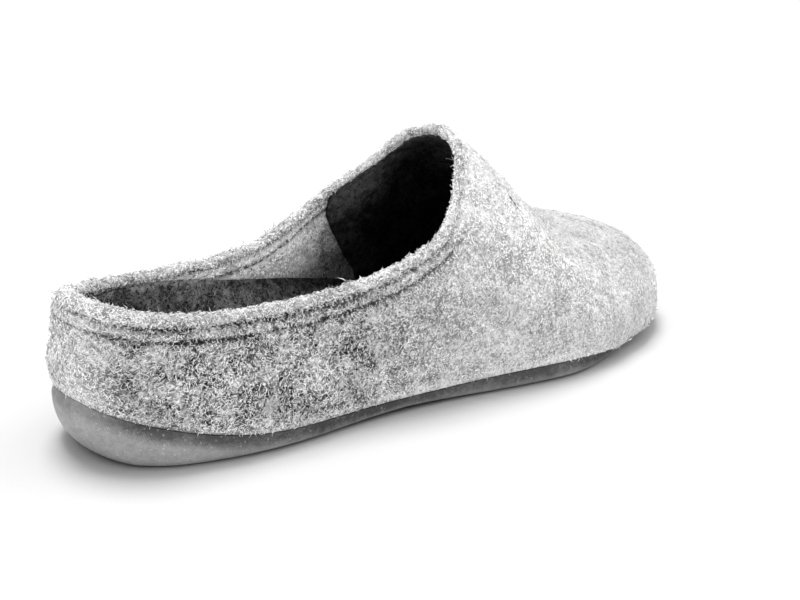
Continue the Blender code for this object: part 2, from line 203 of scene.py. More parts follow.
def lumps(points, size, seed, waves=28):
    """Smooth unevenness with features about size millimetres across, roughly from -2 to 2."""
    rng = np.random.default_rng(seed)
    ways = unit(rng.normal(size=(waves, 3))) * rng.uniform(0.75, 1.35, (waves, 1)) * math.pi / size
    phases = rng.uniform(0.0, 2.0 * math.pi, waves)
    flat = points.reshape(-1, 3)
    total = np.zeros(len(flat))
    for way, phase in zip(ways, phases):
        total += np.cos(flat @ way + phase)
    return (total * math.sqrt(2.0 / waves)).reshape(points.shape[:-1])


def uneven(points, layers):
    """Unevenness from a few layers of lumps, each with its height, size and seed."""
    return sum(high * lumps(points, size, seed) for high, size, seed in layers)


print("lumps ready")

# %% Faces between rings, and caps


def ring_faces(ring_count, columns, closed, v_low=0.0, v_high=1.0):
    """Quads between rings of points, with their UV corners; closed also joins the last ring to the first."""
    last = ring_count if closed else ring_count - 1
    r, c = (g.ravel() for g in np.meshgrid(np.arange(last), np.arange(columns), indexing="ij"))
    a, b, d = r * columns, ((r + 1) % ring_count) * columns, (c + 1) % columns
    faces = np.stack([a + c, a + d, b + d, b + c], 1)
    u0, u1 = c / columns, (c + 1) / columns
    v0, v1 = (v_low + (v_high - v_low) * x / last for x in (r, r + 1))
    corners = np.stack([np.stack([u, v], 1) for u, v in ((u0, v0), (u1, v0), (u1, v1), (u0, v1))], 1)
    return faces.tolist(), corners.reshape(-1, 2)


def cap(points, faces, ring_start, columns, fill, upward):
    """Close a ring with strips from the outer to the inner side; fill gives the points inside a strip."""
    half, strips = columns // 2, []
    for i in range(1, half):
        inside = fill(points[ring_start + i], points[ring_start + columns - i])
        first = len(points)
        points.extend(inside)
        strips.append([ring_start + i] + list(range(first, first + len(inside))) + [ring_start + columns - i])
    new = []
    for one, two in zip(strips, strips[1:]):
        new += [(one[k], two[k], two[k + 1], one[k + 1]) for k in range(len(one) - 1)]
    new += [(ring_start, strips[0][k], strips[0][k + 1]) for k in range(len(strips[0]) - 1)]
    new += [(ring_start + half, strips[-1][k + 1], strips[-1][k]) for k in range(len(strips[-1]) - 1)]
    faces.extend(new if upward else [f[::-1] for f in new])
    return len(new)


print("faces ready")

# %% UV corners
CELL_MARGIN = 0.1


def flat_corners(points, faces, v_low, v_high):
    """UV corners of faces seen from above, in a strip of the map."""
    plan_points = np.asarray(points)[:, :2]
    low_end, high_end = plan_points.min(0), plan_points.max(0)
    share = (plan_points - low_end) / (high_end - low_end)
    flat = np.stack([share[:, 0], v_low + (v_high - v_low) * share[:, 1]], 1)
    return flat[np.concatenate([np.asarray(f) for f in faces])]


def cell_corners(count, local):
    """UV corners for many alike small bodies: each takes one cell of a square grid."""
    across = math.ceil(math.sqrt(count))
    cells = np.stack([np.arange(count) % across, np.arange(count) // across], 1)
    inside = CELL_MARGIN + (1.0 - 2.0 * CELL_MARGIN) * np.asarray(local)[None]
    return ((cells[:, None] + inside) / across).reshape(-1, 2)


print("UV corners ready")

# %% Pieces of the dressed slipper
triangle_counts = {}


def piece(name, points, faces, corners, slot, replaces=()):
    """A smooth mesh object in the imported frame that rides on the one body, with a UV map for its corners."""
    mesh = bpy.data.meshes.new(name)
    mesh.from_pydata(((np.asarray(points) + ORIGIN_SHIFT) * MM).tolist(), [], faces)
    mesh.shade_smooth()
    mesh.uv_layers.new(name="OFBake").data.foreach_set("uv", np.asarray(corners, np.float32).ravel())
    made = bpy.data.objects.new(name, mesh)
    bpy.context.scene.collection.objects.link(made)
    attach(made, "root")
    if replaces:
        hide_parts(*replaces)
    triangle_counts[name] = sum(len(p.vertices) - 2 for p in mesh.polygons)
    print(name, "triangles", triangle_counts[name])
    return made


def mark(made, name, numbers):
    """Keep one number for each vertex of a piece, for its material to read."""
    kept = made.data.attributes.new(name, "FLOAT", "POINT")
    kept.data.foreach_set("value", np.asarray(numbers, np.float32).ravel())


print("pieces ready")

# %% [markdown]
# ## Felt upper
#
# The felt is about 3 mm thick, folded thicker at the collar, and two rows of stitches hold that hem. A seam
# on felt shows as a soft trough with a dimple at every stitch, not as a line, so the troughs are pressed
# into the mesh on both faces of the wall. The rows of the mesh are half a millimetre apart in the hem and
# wider below it.

# %% Rows of the wall
HEM_ROWS = np.arange(13.2, HEM_ROUND - 0.01, -0.45)
FOOT_ROWS = np.array([0.0, 0.6, 1.3, 2.2, 3.3, 4.6, 6.2, 8.0, 10.0, 12.0])
BODY_ROWS, INNER_BODY_ROWS, ROUND_ROWS = 50, 18, 11


def rows_below_edge(body_rows):
    """Distances below the collar edge of every row of one face of the wall, foot first."""
    feet = rib_length[:, None] - FOOT_ROWS[None]
    share = np.arange(1, body_rows + 1) / (body_rows + 1.0)
    body = feet[:, -1:] + (HEM_ROWS[0] - feet[:, -1:]) * share[None]
    return np.concatenate([feet, body, np.tile(HEM_ROWS, (COLUMNS, 1))], axis=1)


outer_below, inner_below = rows_below_edge(BODY_ROWS), rows_below_edge(INNER_BODY_ROWS)
print("rows outside", outer_below.shape[1], "rows inside", inner_below.shape[1])

# %% Seams pressed into the felt
SEAM_ROWS, INNER_SEAM_ROWS = (4.4, 9.2), (3.5, 8.5)      # distance of the two seams below the collar edge
SEAM_HALF, SEAM_DEEP, INNER_SEAM_HALF, INNER_SEAM_DEEP = 0.75, 0.95, 1.1, 1.4
STITCH_PITCH = 3.6
SEAM_BEAT, SEAM_WANDER = 0.25, ((0.25, 14.0, 5),)     # dimple at every stitch, and how a seam strays
SEAM_MEAN, SEAM_LUMPS, SEAM_LIMITS = 0.85, ((0.2, 6.0, 6),), (0.35, 1.1)
THROAT_SINK, THROAT_SINK_X = 0.85, (138.0, 150.0)     # at these places the seams sink into the felt
SIDE_SINK, SIDE_SINK_X = 0.3, (75.0, 115.0)
HEEL_SINK, HEEL_SINK_X = 0.4, (18.0, 4.0)


def arc_length(ring):
    """Distance along a closed ring, and its whole length."""
    lengths = np.linalg.norm(np.roll(ring, -1, 0) - ring, axis=1)
    return np.concatenate([[0.0], np.cumsum(lengths)[:-1]]), lengths.sum()


seam_strength = 1.0 - THROAT_SINK * smoothstep(*THROAT_SINK_X, collar[:, 0])
seam_strength *= 1.0 - SIDE_SINK * smoothstep(*SIDE_SINK_X, collar[:, 0]) * (collar[:, 1] < 0.0)
seam_strength *= 1.0 - HEEL_SINK * smoothstep(*HEEL_SINK_X, collar[:, 0])


def seam_press(below_edge, seams, half):
    """How far the seams pull the felt in, 0 to 1, for columns by rows of distances below the collar edge."""
    pressed = np.zeros_like(below_edge)
    for seam in seams:
        ring = on_ribs(face, np.full((COLUMNS, 1), seam))[:, 0]
        distance, whole = arc_length(ring)
        count = round(whole / STITCH_PITCH)
        beat = 1.0 - SEAM_BEAT + SEAM_BEAT * np.cos(2.0 * math.pi * count * distance / whole)
        beat *= np.clip(SEAM_MEAN + uneven(ring, SEAM_LUMPS), *SEAM_LIMITS)
        wander = uneven(ring, SEAM_WANDER)
        trough = np.exp(-(((below_edge - seam - wander[:, None]) / half) ** 2))
        pressed += trough * (beat * seam_strength)[:, None]
    return pressed


outer_press = seam_press(outer_below, SEAM_ROWS, SEAM_HALF)
inner_press = seam_press(inner_below, INNER_SEAM_ROWS, INNER_SEAM_HALF)
print("seams", len(SEAM_ROWS), "outside and", len(INNER_SEAM_ROWS), "inside")

# %% Painted light: where the felt is paler
PALE_TONE, PALE_SHARE, GROUND_PALE = 0.97, 0.8, 0.58    # for the fibres, and for the felt under them
INNER_PAINTED_LIGHT, RIM_PAINTED_LIGHT, THROAT_PAINTED_LIGHT, FOOT_PALE = 0.95, 0.48, 0.45, 0.25
VAMP_PAINTED_LIGHT, VAMP_X = 0.62, (90.0, 165.0)
TOP_PAINTED_LIGHT, TOP_X, TOP_Z = 0.33, (130.0, 165.0), (45.0, 80.0)
TIP_PAINTED_LIGHT, TIP_X = 0.12, (185.0, 230.0)
BACK_PAINTED_LIGHT, BACK_X = 0.42, (14.0, 3.0)
RIDGE_PAINTED_SHADE, RIDGE_BAND, RIDGE_X = 0.2, (-16.0, -3.0), (157.0, 170.0)    # the band is a height below the ridge
INSIDE_X, LINING_PAINTED_SHADE, LINING_PAINTED_SHADE_X = (18.0, 55.0), 0.7, (114.0, 134.0)
ridge = face[SIDE_COLUMNS, :ALONG_TURN - 1:-1]        # the top line of the vamp, from the collar to the toe


def near_ridge(points):
    """1 along the top line of the vamp, 0 lower down."""
    x, z = points[..., 0], points[..., 2]
    return smoothstep(*RIDGE_BAND, z - np.interp(x, ridge[:, 0], ridge[:, 2])) * smoothstep(*RIDGE_X, x)


def paleness(points):
    """Painted light: paler on the vamp, toe and back of the heel, painted shade along the vamp's top; 0 at the
    side, about 1 on the vamp.
    """
    x, z = points[..., 0], points[..., 2]
    vamp = VAMP_PAINTED_LIGHT * smoothstep(*VAMP_X, x) + TOP_PAINTED_LIGHT * smoothstep(*TOP_X, x) * smoothstep(*TOP_Z, z)
    vamp = vamp + TIP_PAINTED_LIGHT * smoothstep(*TIP_X, x) - RIDGE_PAINTED_SHADE * near_ridge(points)
    return np.maximum(vamp, BACK_PAINTED_LIGHT * smoothstep(*BACK_X, x))


def inside_painted_light(x):
    """Painted light on the inside of the wall: pale at the waist, with painted shade at the heel and beside
    the lining.
    """
    return smoothstep(*INSIDE_X, x) * (1.0 - LINING_PAINTED_SHADE * smoothstep(*LINING_PAINTED_SHADE_X, x))


print("vamp ridge from", ridge[0].round(1), "to", ridge[-1].round(1))

# %% Uneven skin on both faces of the wall
PUFF_ABOVE, PUFF_BELOW, PUFF_HIGH, PUFF_HALF = 4.0, 4.6, 0.4, 1.5     # the felt swells between the seams
OUTER_LUMPS = ((0.22, 9.0, 11), (0.11, 3.8, 12))      # height, size and seed of each layer
INNER_LUMPS = ((0.1, 8.0, 13),)
FOOT_CALM = 2.5                               # the felt is even where it meets the sole
outer_skin, outer_normal = on_ribs(face, outer_below), unit(on_ribs(face_normal, outer_below))
inner_base, inner_normal = on_ribs(face, inner_below), unit(on_ribs(face_normal, inner_below))
inner_wall = inner_base - inner_normal * wall_at(inner_below)[..., None]
inner_wall[:, 0] = feather - outward * FELT_WALL

hem_marks = (SEAM_ROWS[0] - PUFF_ABOVE,) + SEAM_ROWS + (SEAM_ROWS[1] + PUFF_BELOW,)
puff_rows = [(a + b) / 2.0 for a, b in zip(hem_marks, hem_marks[1:])]
hem_puff = sum(PUFF_HIGH * np.exp(-(((outer_below - row) / PUFF_HALF) ** 2)) for row in puff_rows)
foot_calm = smoothstep(0.0, FOOT_CALM, rib_length[:, None] - outer_below)
outer_move = uneven(outer_skin, OUTER_LUMPS) * foot_calm + hem_puff * seam_strength[:, None]
outer_move -= SEAM_DEEP * outer_press
outer_skin = outer_skin + outer_normal * outer_move[..., None]
inner_move = uneven(inner_wall, INNER_LUMPS) - INNER_SEAM_DEEP * inner_press
inner_skin = inner_wall - inner_normal * inner_move[..., None]
print("outer skin moved by", outer_move.min().round(2), "to", outer_move.max().round(2), "mm")

# %% Felt upper as one closed shell
RIM_LUMPS = ((0.16, 7.0, 14), (0.12, 2.6, 15))
lip_below = np.full((COLUMNS, 1), HEM_ROUND)
lip = on_ribs(face, lip_below)[:, 0]
lip_normal = unit(on_ribs(face_normal, lip_below)[:, 0])
lip_up = unit(collar - lip)
lip_middle = lip - lip_normal * hem_wall / 2.0
rings = [outer_skin[:, k] for k in range(outer_skin.shape[1])]
for k in range(1, ROUND_ROWS - 1):
    angle = math.pi * k / (ROUND_ROWS - 1)
    ring = lip_middle + lip_normal * math.cos(angle) * hem_wall / 2.0 + lip_up * math.sin(angle) * HEM_ROUND
    out_of_rim = lip_normal * math.cos(angle) + lip_up * math.sin(angle)
    rings.append(ring + out_of_rim * uneven(ring, RIM_LUMPS)[:, None])
rings += [inner_skin[:, k] for k in range(inner_skin.shape[1] - 1, -1, -1)]
felt_rings = np.stack(rings)                  # rings by columns by xyz
press_rings = np.concatenate([outer_press.T, np.zeros((ROUND_ROWS - 2, COLUMNS)), inner_press.T[::-1]])
felt_faces, felt_corners = ring_faces(len(rings), COLUMNS, True)
felt_upper = piece("felt_upper", felt_rings.reshape(-1, 3), felt_faces, felt_corners, "upper_felt", ["upper"])
mark(felt_upper, "press", press_rings)

# %% Painted light on the rim, the hem and the inside; paler foot
EDGE_SHARE_ROWS, FOOT_PALE_ROWS = (3.8, 2.4), (4.0, 1.5)      # distances below the collar, and above the sole
PUFF_PAINTED_LIGHT, PUFF_PAINTED_LIGHT_HALF = 0.15, 1.6
# painted highlight on the rounded rim and on the swells between the seams
rim_painted_light = THROAT_PAINTED_LIGHT + (RIM_PAINTED_LIGHT - THROAT_PAINTED_LIGHT) * smoothstep(THROAT_X[1], THROAT_X[0], collar[:, 0])
edge_share = smoothstep(*EDGE_SHARE_ROWS, HEM_ROWS)[:, None]
pale_rings = paleness(felt_rings)
pale_rings[:len(FOOT_ROWS)] += FOOT_PALE * smoothstep(*FOOT_PALE_ROWS, FOOT_ROWS)[:, None]
hem_part = pale_rings[outer_skin.shape[1] - len(HEM_ROWS):outer_skin.shape[1]]
hem_part += (rim_painted_light - hem_part) * edge_share
hem_part += PUFF_PAINTED_LIGHT * np.exp(-(((HEM_ROWS[:, None] - sum(SEAM_ROWS) / 2.0) / PUFF_PAINTED_LIGHT_HALF) ** 2))
pale_rings[outer_skin.shape[1]:-inner_skin.shape[1]] = rim_painted_light
pale_rings[-inner_skin.shape[1]:] = INNER_PAINTED_LIGHT * inside_painted_light(felt_rings[-inner_skin.shape[1]:, :, 0])
mark(felt_upper, "pale", np.clip(pale_rings, 0.0, 1.0))
print("paleness up to", pale_rings.max().round(2))

# %% [markdown]
# ## Insole
#
# The footbed is a dark marled felt, dished like a shallow bowl: its edge climbs the wall at the heel and
# lies flat at the toes. It is drawn from the same table as the solid, with a soft rounded edge where it
# meets the wall.

# %% Edge of the footbed, up the wall
Bed = namedtuple("Bed", "x edge middle")
FOOTBED = (
    Bed(0.0, 53.0, 36.0), Bed(14.0, 52.4, 31.5), Bed(32.0, 50.4, 29.0), Bed(62.0, 46.4, 26.5),
    Bed(93.0, 39.4, 22.5), Bed(115.0, 33.4, 18.8), Bed(134.0, 28.4, 15.6), Bed(150.0, 22.5, 13.2),
    Bed(168.0, 15.5, 11.6), Bed(186.0, 11.6, 11.0), Bed(240.0, 11.0, 10.8), Bed(270.0, 13.2, 12.8),
)
GAP, BED_MIN, BED_BELOW_COLLAR, BED_ACROSS, BED_ROUND, BED_BOWL = 0.3, 4.0, 3.8, 44, 1.6, 2.6
BED_STRIPS = ((0.0, 0.2), (0.22, 0.58), (0.62, 1.0))      # of the UV map: edge, underside and top
BED_WALL_SHARES, BED_ROUND_ANGLES = (0.0, 0.12, 0.24, 0.36, 0.5, 0.65, 0.8, 1.0), (0.5, 1.0, 1.4)
bed_table = np.array(FOOTBED)
bed_edge = np.maximum(np.interp(feather[:, 0], bed_table[:, 0], bed_table[:, 1]), feather[:, 2] + BED_MIN)
bed_edge = np.minimum(bed_edge, collar[:, 2] - BED_BELOW_COLLAR)
wall_row = np.arange(inner_wall.shape[1], dtype=float)


def wall_ring(share, height, inset):
    """Ring on the inner face of the wall, a share of the way up to a height, moved in from it."""
    base = inner_wall - inner_normal * inset
    base[:, 0] = inner_wall[:, 0] - outward * inset + UP * inset
    ring = np.empty((COLUMNS, 3))
    for i in range(COLUMNS):
        at = share * np.interp(height[i], np.maximum.accumulate(base[i, :, 2]), wall_row)
        ring[i] = [np.interp(at, wall_row, base[i, :, axis]) for axis in range(3)]
    return ring


rings = [wall_ring(share, bed_edge - BED_ROUND, GAP) for share in BED_WALL_SHARES]
rings += [wall_ring(1.0, bed_edge - BED_ROUND * (1.0 - math.sin(a)), GAP + BED_ROUND * (1.0 - math.cos(a)))
          for a in BED_ROUND_ANGLES]
bed_points = list(np.concatenate(rings))
bed_faces, bed_corners = ring_faces(len(rings), COLUMNS, False, *BED_STRIPS[0])
print("footbed edge", bed_edge.min().round(1), "to", bed_edge.max().round(1), "mm high")

# %% Dished footbed
BED_LUMPS = ((0.16, 7.0, 21), (0.07, 2.8, 22))


def dish(start, end):
    """Points across the bowl of the footbed."""
    t = (np.arange(1, BED_ACROSS + 1) / (BED_ACROSS + 1.0))[:, None]
    line = start + (end - start) * t
    deep = np.minimum(np.interp(line[:, 0], bed_table[:, 0], bed_table[:, 2]), line[:, 2])
    line[:, 2] += (deep - line[:, 2]) * (1.0 - np.abs(2.0 * t[:, 0] - 1.0) ** BED_BOWL)
    line[:, 2] += uneven(line, BED_LUMPS)
    return list(line)


def halfway(start, end):
    """One point, for a flat cap."""
    return [start + (end - start) * 0.5]


below_count = cap(bed_points, bed_faces, 0, COLUMNS, halfway, False)
bed_top_start = len(bed_points)
top_count = cap(bed_points, bed_faces, (len(rings) - 1) * COLUMNS, COLUMNS, dish, True)
below_corners = flat_corners(bed_points, bed_faces[-top_count - below_count:-top_count], *BED_STRIPS[1])
top_corners = flat_corners(bed_points, bed_faces[-top_count:], *BED_STRIPS[2])
bed_corners = np.concatenate([bed_corners, below_corners, top_corners])
piece("felt_insole", bed_points, bed_faces, bed_corners, "insole_felt", ["insole"])

# %% [markdown]
# ## Stitches
#
# Dark thread lies at the bottom of the troughs, a stitch about 3 mm long and then a gap where it dives
# through the felt. Each stitch is a short tube that dips at both ends, and all of them are one joined mesh.

# %% Tubes of thread
THREAD_RADIUS, THREAD_SIDES = 0.3, 5


def tubes(paths, radius, sides, up_hint):
    """Closed tubes along many short paths (tubes by points by xyz); returns points, faces and UV corners."""
    count, rings_each = paths.shape[:2]
    way = unit(np.gradient(paths, axis=1))
    side = unit(np.cross(way, up_hint[:, None]))
    top = np.cross(side, way)
    turns = (2.0 * math.pi * np.arange(sides) / sides)[None, None, :, None]
    ring = np.cos(turns) * side[:, :, None] + np.sin(turns) * top[:, :, None]
    points = (paths[:, :, None] + ring * radius).reshape(-1, 3)
    local = []
    for r in range(rings_each - 1):
        a, b = r * sides, (r + 1) * sides
        local += [(a + k, b + k, b + (k + 1) % sides, a + (k + 1) % sides) for k in range(sides)]
    local += [tuple(range(sides)), tuple((rings_each - 1) * sides + k for k in range(sides - 1, -1, -1))]
    faces = [tuple(base + v for v in f) for base in range(0, count * rings_each * sides, rings_each * sides)
             for f in local]
    index = np.arange(rings_each * sides)
    spot = np.stack([index % sides / sides, index // sides / rings_each], 1)
    return points, faces, cell_corners(count, spot[np.concatenate([np.asarray(f) for f in local])])


print("thread", 2.0 * THREAD_RADIUS, "mm thick")

# %% Stitching on both faces of the hem
THREAD_SUNK, STITCH_SHARE, STITCH_RINGS = 0.05, 0.8, 6
STITCH_DIP = 0.7                              # how far the ends of a stitch dive into the felt
STITCH_SHOWN, STITCH_CLEAR = 0.55, 1.0        # least seam strength, and height above the footbed


def stitch_paths(skin, skin_normal, below_edge, seam, covered):
    """Short paths along one seam on one face of the wall, and the way out of the felt at each.

    covered leaves out those behind the footbed."""
    row = np.argmin(np.abs(below_edge[0] - seam))
    ring, ring_normal = skin[:, row], skin_normal[:, row]
    distance, whole = arc_length(ring)
    count = round(whole / STITCH_PITCH)
    span = np.linspace(-0.5, 0.5, STITCH_RINGS) * STITCH_SHARE
    at = ((np.arange(count)[:, None] + 0.5 + span[None]) * whole / count) % whole
    closed = np.append(distance, whole)
    paths = np.stack([np.interp(at, closed, np.append(ring[:, k], ring[0, k])) for k in range(3)], -1)
    out_way = unit(np.stack([np.interp(at, closed, np.append(ring_normal[:, k], ring_normal[0, k]))
                             for k in range(3)], -1))
    dip = np.abs(np.linspace(-1.0, 1.0, STITCH_RINGS)) ** 3
    paths = paths - out_way * (THREAD_SUNK + STITCH_DIP * dip)[..., None]
    near = np.interp(at[:, STITCH_RINGS // 2], closed, np.append(seam_strength, seam_strength[0]))
    lowest = np.interp(paths[:, 0, 0], bed_table[:, 0], bed_table[:, 1]) if covered else -1.0
    keep = (near > STITCH_SHOWN) & (paths[:, 0, 2] > lowest + STITCH_CLEAR)
    return paths[keep], out_way[keep, STITCH_RINGS // 2]


parts = [stitch_paths(outer_skin, outer_normal, outer_below, seam, False) for seam in SEAM_ROWS]
parts += [stitch_paths(inner_skin, -inner_normal, inner_below, seam, True) for seam in INNER_SEAM_ROWS]
stitch_lines = np.concatenate([p[0] for p in parts])
stitch_out = np.concatenate([p[1] for p in parts])
piece("collar_stitching", *tubes(stitch_lines, THREAD_RADIUS, THREAD_SIDES, stitch_out), "upper_felt")
print("stitches", len(stitch_lines))

# %% [markdown]
# ## Lining of the vamp
#
# Inside the front half a thin black lining covers the felt. Its rear edge runs straight down from the
# collar and then slants forward to the footbed. It is a thin closed shell a little inside the wall, so it
# never shows outside.

# %% Grid of points inside the vamp
LINING_EDGE = ((70.0, 130.5), (55.0, 130.5), (49.0, 133.5), (42.0, 137.5), (36.0, 140.5), (29.0, 145.5),
               (8.0, 153.5))                  # height and x of the rear edge
LINING_TOP, LINING_FOOT, LINING_THICK, LINING_CLEAR = 2.6, 12.0, 0.7, 0.12
LINING_FOOT_MIN, LINING_TURN = 1.0, 6.0       # its lower end is higher where the felt turns in further
LINING_ROWS, LINING_ACROSS = 46, 150
edge_table = np.array(LINING_EDGE[::-1])


def lining_grid(inset):
    """Grid of points (rows by steps across) inside the vamp, from the outer rear edge to the inner one."""
    share = np.linspace(0.0, 1.0, LINING_ROWS)
    above_foot = np.maximum(LINING_FOOT_MIN, LINING_FOOT * np.minimum(turn / LINING_TURN, 1.0))
    lowest = rib_length[:, None] - above_foot
    below = LINING_TOP + (lowest - LINING_TOP) * share[None]
    wall = on_ribs(face, below)
    normal = unit(on_ribs(face_normal, below))
    wall = wall - normal * (wall_at(below) + inset)[..., None]
    grid = np.empty((LINING_ROWS, LINING_ACROSS, 3))
    for r in range(LINING_ROWS):
        ring = wall[:, r]
        ahead = ring[:, 0] - np.interp(ring[:, 2], edge_table[:, 0], edge_table[:, 1])
        first = np.argmax(ahead > 0.0)
        last = COLUMNS - 1 - np.argmax(ahead[::-1] > 0.0)
        first_at = first - ahead[first] / (ahead[first] - ahead[first - 1])
        last_at = last + ahead[last] / (ahead[last] - ahead[last + 1])
        at = np.linspace(first_at, last_at, LINING_ACROSS)
        grid[r] = np.stack([np.interp(at, np.arange(COLUMNS), ring[:, k]) for k in range(3)], -1)
    return grid


lining_back, lining_front = lining_grid(LINING_CLEAR), lining_grid(LINING_CLEAR + LINING_THICK)
print("lining grid", lining_back.shape[:2])

# %% Lining as a thin closed shell


def shell(back_grid, front_grid):
    """Closed thin shell between two grids of the same size, with UV corners for each side and for the rim."""
    rows, across = back_grid.shape[:2]
    points = np.concatenate([back_grid.reshape(-1, 3), front_grid.reshape(-1, 3)])
    size, faces = rows * across, []
    for r in range(rows - 1):
        for c in range(across - 1):
            a, b = r * across + c, (r + 1) * across + c
            faces.append((a, a + 1, b + 1, b))
            faces.append((size + a, size + b, size + b + 1, size + a + 1))
    rim = list(range(across)) + [r * across + across - 1 for r in range(1, rows)]
    rim += [(rows - 1) * across + c for c in range(across - 2, -1, -1)]
    rim += [r * across for r in range(rows - 2, 0, -1)]
    faces += [(a, size + a, size + b, b) for a, b in zip(rim, rim[1:] + rim[:1])]
    index = np.arange(size)
    spot = np.stack([index % across / (across - 1), index // across / (rows - 1) * 0.46], 1)
    spot = np.concatenate([spot, spot + (0.0, 0.5)])
    return points, faces, spot[np.asarray(faces).ravel()]


piece("vamp_lining", *shell(lining_back, lining_front), "insole_felt")

# %% [markdown]
# ## Rubber sole
#
# The moulded sole starts in a cove set back under the felt, swells to a bulge and tucks under to a small
# tread. The tread is not seen in a normal view, so it gets plain shallow waves, as on most house shoes.

# %% Side of the sole, with cove and bulge
Station = namedtuple("Station", "x tuck lift")
UNDERSIDE = (
    Station(0.0, 12.4, 1.2), Station(14.0, 8.6, 0.0), Station(28.0, 6.0, 0.0), Station(84.0, 5.0, 0.0),
    Station(122.0, 4.4, 1.4), Station(158.0, 4.4, 0.0), Station(238.0, 4.2, 0.0), Station(256.0, 4.0, 0.9),
    Station(270.0, 3.8, 2.6),
)
RIM_OUT, BAND_HIGH, BAND_SHARE, BAND_DEEP, BAND_STEP = 0.6, 2.9, 0.42, 0.6, 0.5
FLANGE_IN, FLANGE_DROP = 0.3, 0.2
COVE_ROWS, BULGE_ROWS = 9, 20
SOLE_STRIPS = ((0.0, 0.4), (0.42, 0.74), (0.76, 1.0))     # of the UV map: side, tread and flange
under = np.array(UNDERSIDE)
tuck = np.interp(feather[:, 0], under[:, 0], under[:, 1])[:, None]
floor_lift = np.interp(feather[:, 0], under[:, 0], under[:, 2])[:, None]
sole_top = (feather[:, 2] - GAP)[:, None]
band = np.minimum(BAND_HIGH, BAND_SHARE * (sole_top - floor_lift))
plan = feather * (1.0, 1.0, 0.0)


def sole_ring(offset, height):
    """Ring round the sole at an offset from the feather line and a height."""
    return plan + outward * offset + UP * height


band_out, shoulder = RIM_OUT - BAND_DEEP, sole_top - band - BAND_STEP
rings = [sole_ring(-FELT_WALL, sole_top), sole_ring(band_out - FLANGE_IN, sole_top)]
cove_share = np.linspace(0.0, 1.0, COVE_ROWS)
for share in cove_share:
    height = sole_top - FLANGE_DROP + (shoulder - sole_top + FLANGE_DROP) * share
    rings.append(sole_ring(band_out + BAND_DEEP * smoothstep(0.1, 1.0, share), height))
for k in range(1, BULGE_ROWS):
    angle = math.pi / 2.0 * k / (BULGE_ROWS - 1)
    height = floor_lift + (shoulder - floor_lift) * (1.0 - math.sin(angle))
    rings.append(sole_ring(RIM_OUT - tuck * (1.0 - math.cos(angle)), height))
rings = rings[::-1]                               # tread edge first, flange last
sole_points = list(np.concatenate(rings))
sole_faces, sole_corners = ring_faces(len(rings), COLUMNS, False, *SOLE_STRIPS[0])
print("sole rings", len(rings))

# %% Tread, and the sole as one piece
TREAD_ACROSS, TREAD_WAVE, TREAD_DEEP, TREAD_MARGIN = 60, 6.5, 0.8, 5.0
TREAD_SWAY, TREAD_SWAY_LONG = 2.2, 24.0


def tread(start, end):
    """Points across the underside, with shallow waves that fade towards the edge."""
    t = (np.arange(1, TREAD_ACROSS + 1) / (TREAD_ACROSS + 1.0))[:, None]
    line = start + (end - start) * t
    wide = np.linalg.norm(end - start)
    inside = smoothstep(0.0, TREAD_MARGIN, np.minimum(t[:, 0], 1.0 - t[:, 0]) * wide)
    sway = TREAD_SWAY * np.sin(line[:, 1] * 2.0 * math.pi / TREAD_SWAY_LONG)
    phase = (line[:, 0] + sway) * 2.0 * math.pi / TREAD_WAVE
    line[:, 2] += TREAD_DEEP * smoothstep(0.1, 0.75, np.sin(phase)) * inside
    return list(line)


tread_count = cap(sole_points, sole_faces, 0, COLUMNS, tread, False)
flange_count = cap(sole_points, sole_faces, (len(rings) - 1) * COLUMNS, COLUMNS, halfway, True)
tread_faces = sole_faces[-tread_count - flange_count:-flange_count]
tread_corners = flat_corners(sole_points, tread_faces, *SOLE_STRIPS[1])
flange_corners = flat_corners(sole_points, sole_faces[-flange_count:], *SOLE_STRIPS[2])
sole_corners = np.concatenate([sole_corners, tread_corners, flange_corners])
sole = piece("rubber_sole", sole_points, sole_faces, sole_corners, "sole_rubber", ["outsole"])

# %% Painted shade in the cove
COVE_SHADE_DEPTH = 2.5                               # depth of the dark part, in heights of the band
COVE_SHADE_HEEL, COVE_SHADE_HEEL_X = 0.4, (2.0, 20.0)     # the cove runs out round the back of the heel
# painted shade: the band just under the felt is marked darker, where the felt's overhang shades it
cove_shade_mark = np.zeros(len(sole_points))
depth = sole_top[:, 0] - np.stack(rings)[:, :, 2]
cove_shade_strength = COVE_SHADE_HEEL + (1.0 - COVE_SHADE_HEEL) * smoothstep(*COVE_SHADE_HEEL_X, plan[:, 0])
cove_shade_rows = cove_shade_strength * (1.0 - smoothstep(0.2, 1.0, depth / (COVE_SHADE_DEPTH * band[:, 0])))
cove_shade_mark[:len(rings) * COLUMNS] = cove_shade_rows.ravel()
mark(sole, "cove", cove_shade_mark)
print("cove marked up to", cove_shade_mark.max().round(2))

# %% [markdown]
# ## Loose fibres
#
# Felt shows its wool: short curled fibres lie all over it and stand up along the cut edge. Hair particles
# would not survive an export, so each fibre is a bent spindle of six triangles, thick in the middle and
# pointed at both ends. Thousands of them are made at once from arrays and joined. Each keeps one tone,
# which its material reads.

# %% Random places on a surface


def scatter(grid, weight, count, rng):
    """Random places on a grid surface (rows by columns by xyz): point and normal of each."""
    a, b, c, d = grid[:-1, :-1], grid[:-1, 1:], grid[1:, 1:], grid[1:, :-1]
    normal = np.cross(c - a, d - b)
    area = np.linalg.norm(normal, axis=2) * weight
    chosen = rng.choice(area.size, count, p=(area / area.sum()).ravel())
    u, v = rng.random((count, 1)), rng.random((count, 1))
    a, b, c, d, normal = (x.reshape(-1, 3)[chosen] for x in (a, b, c, d, normal))
    return (a * (1 - u) + b * u) * (1 - v) + (d * (1 - u) + c * u) * v, unit(normal)


print("scatter ready")

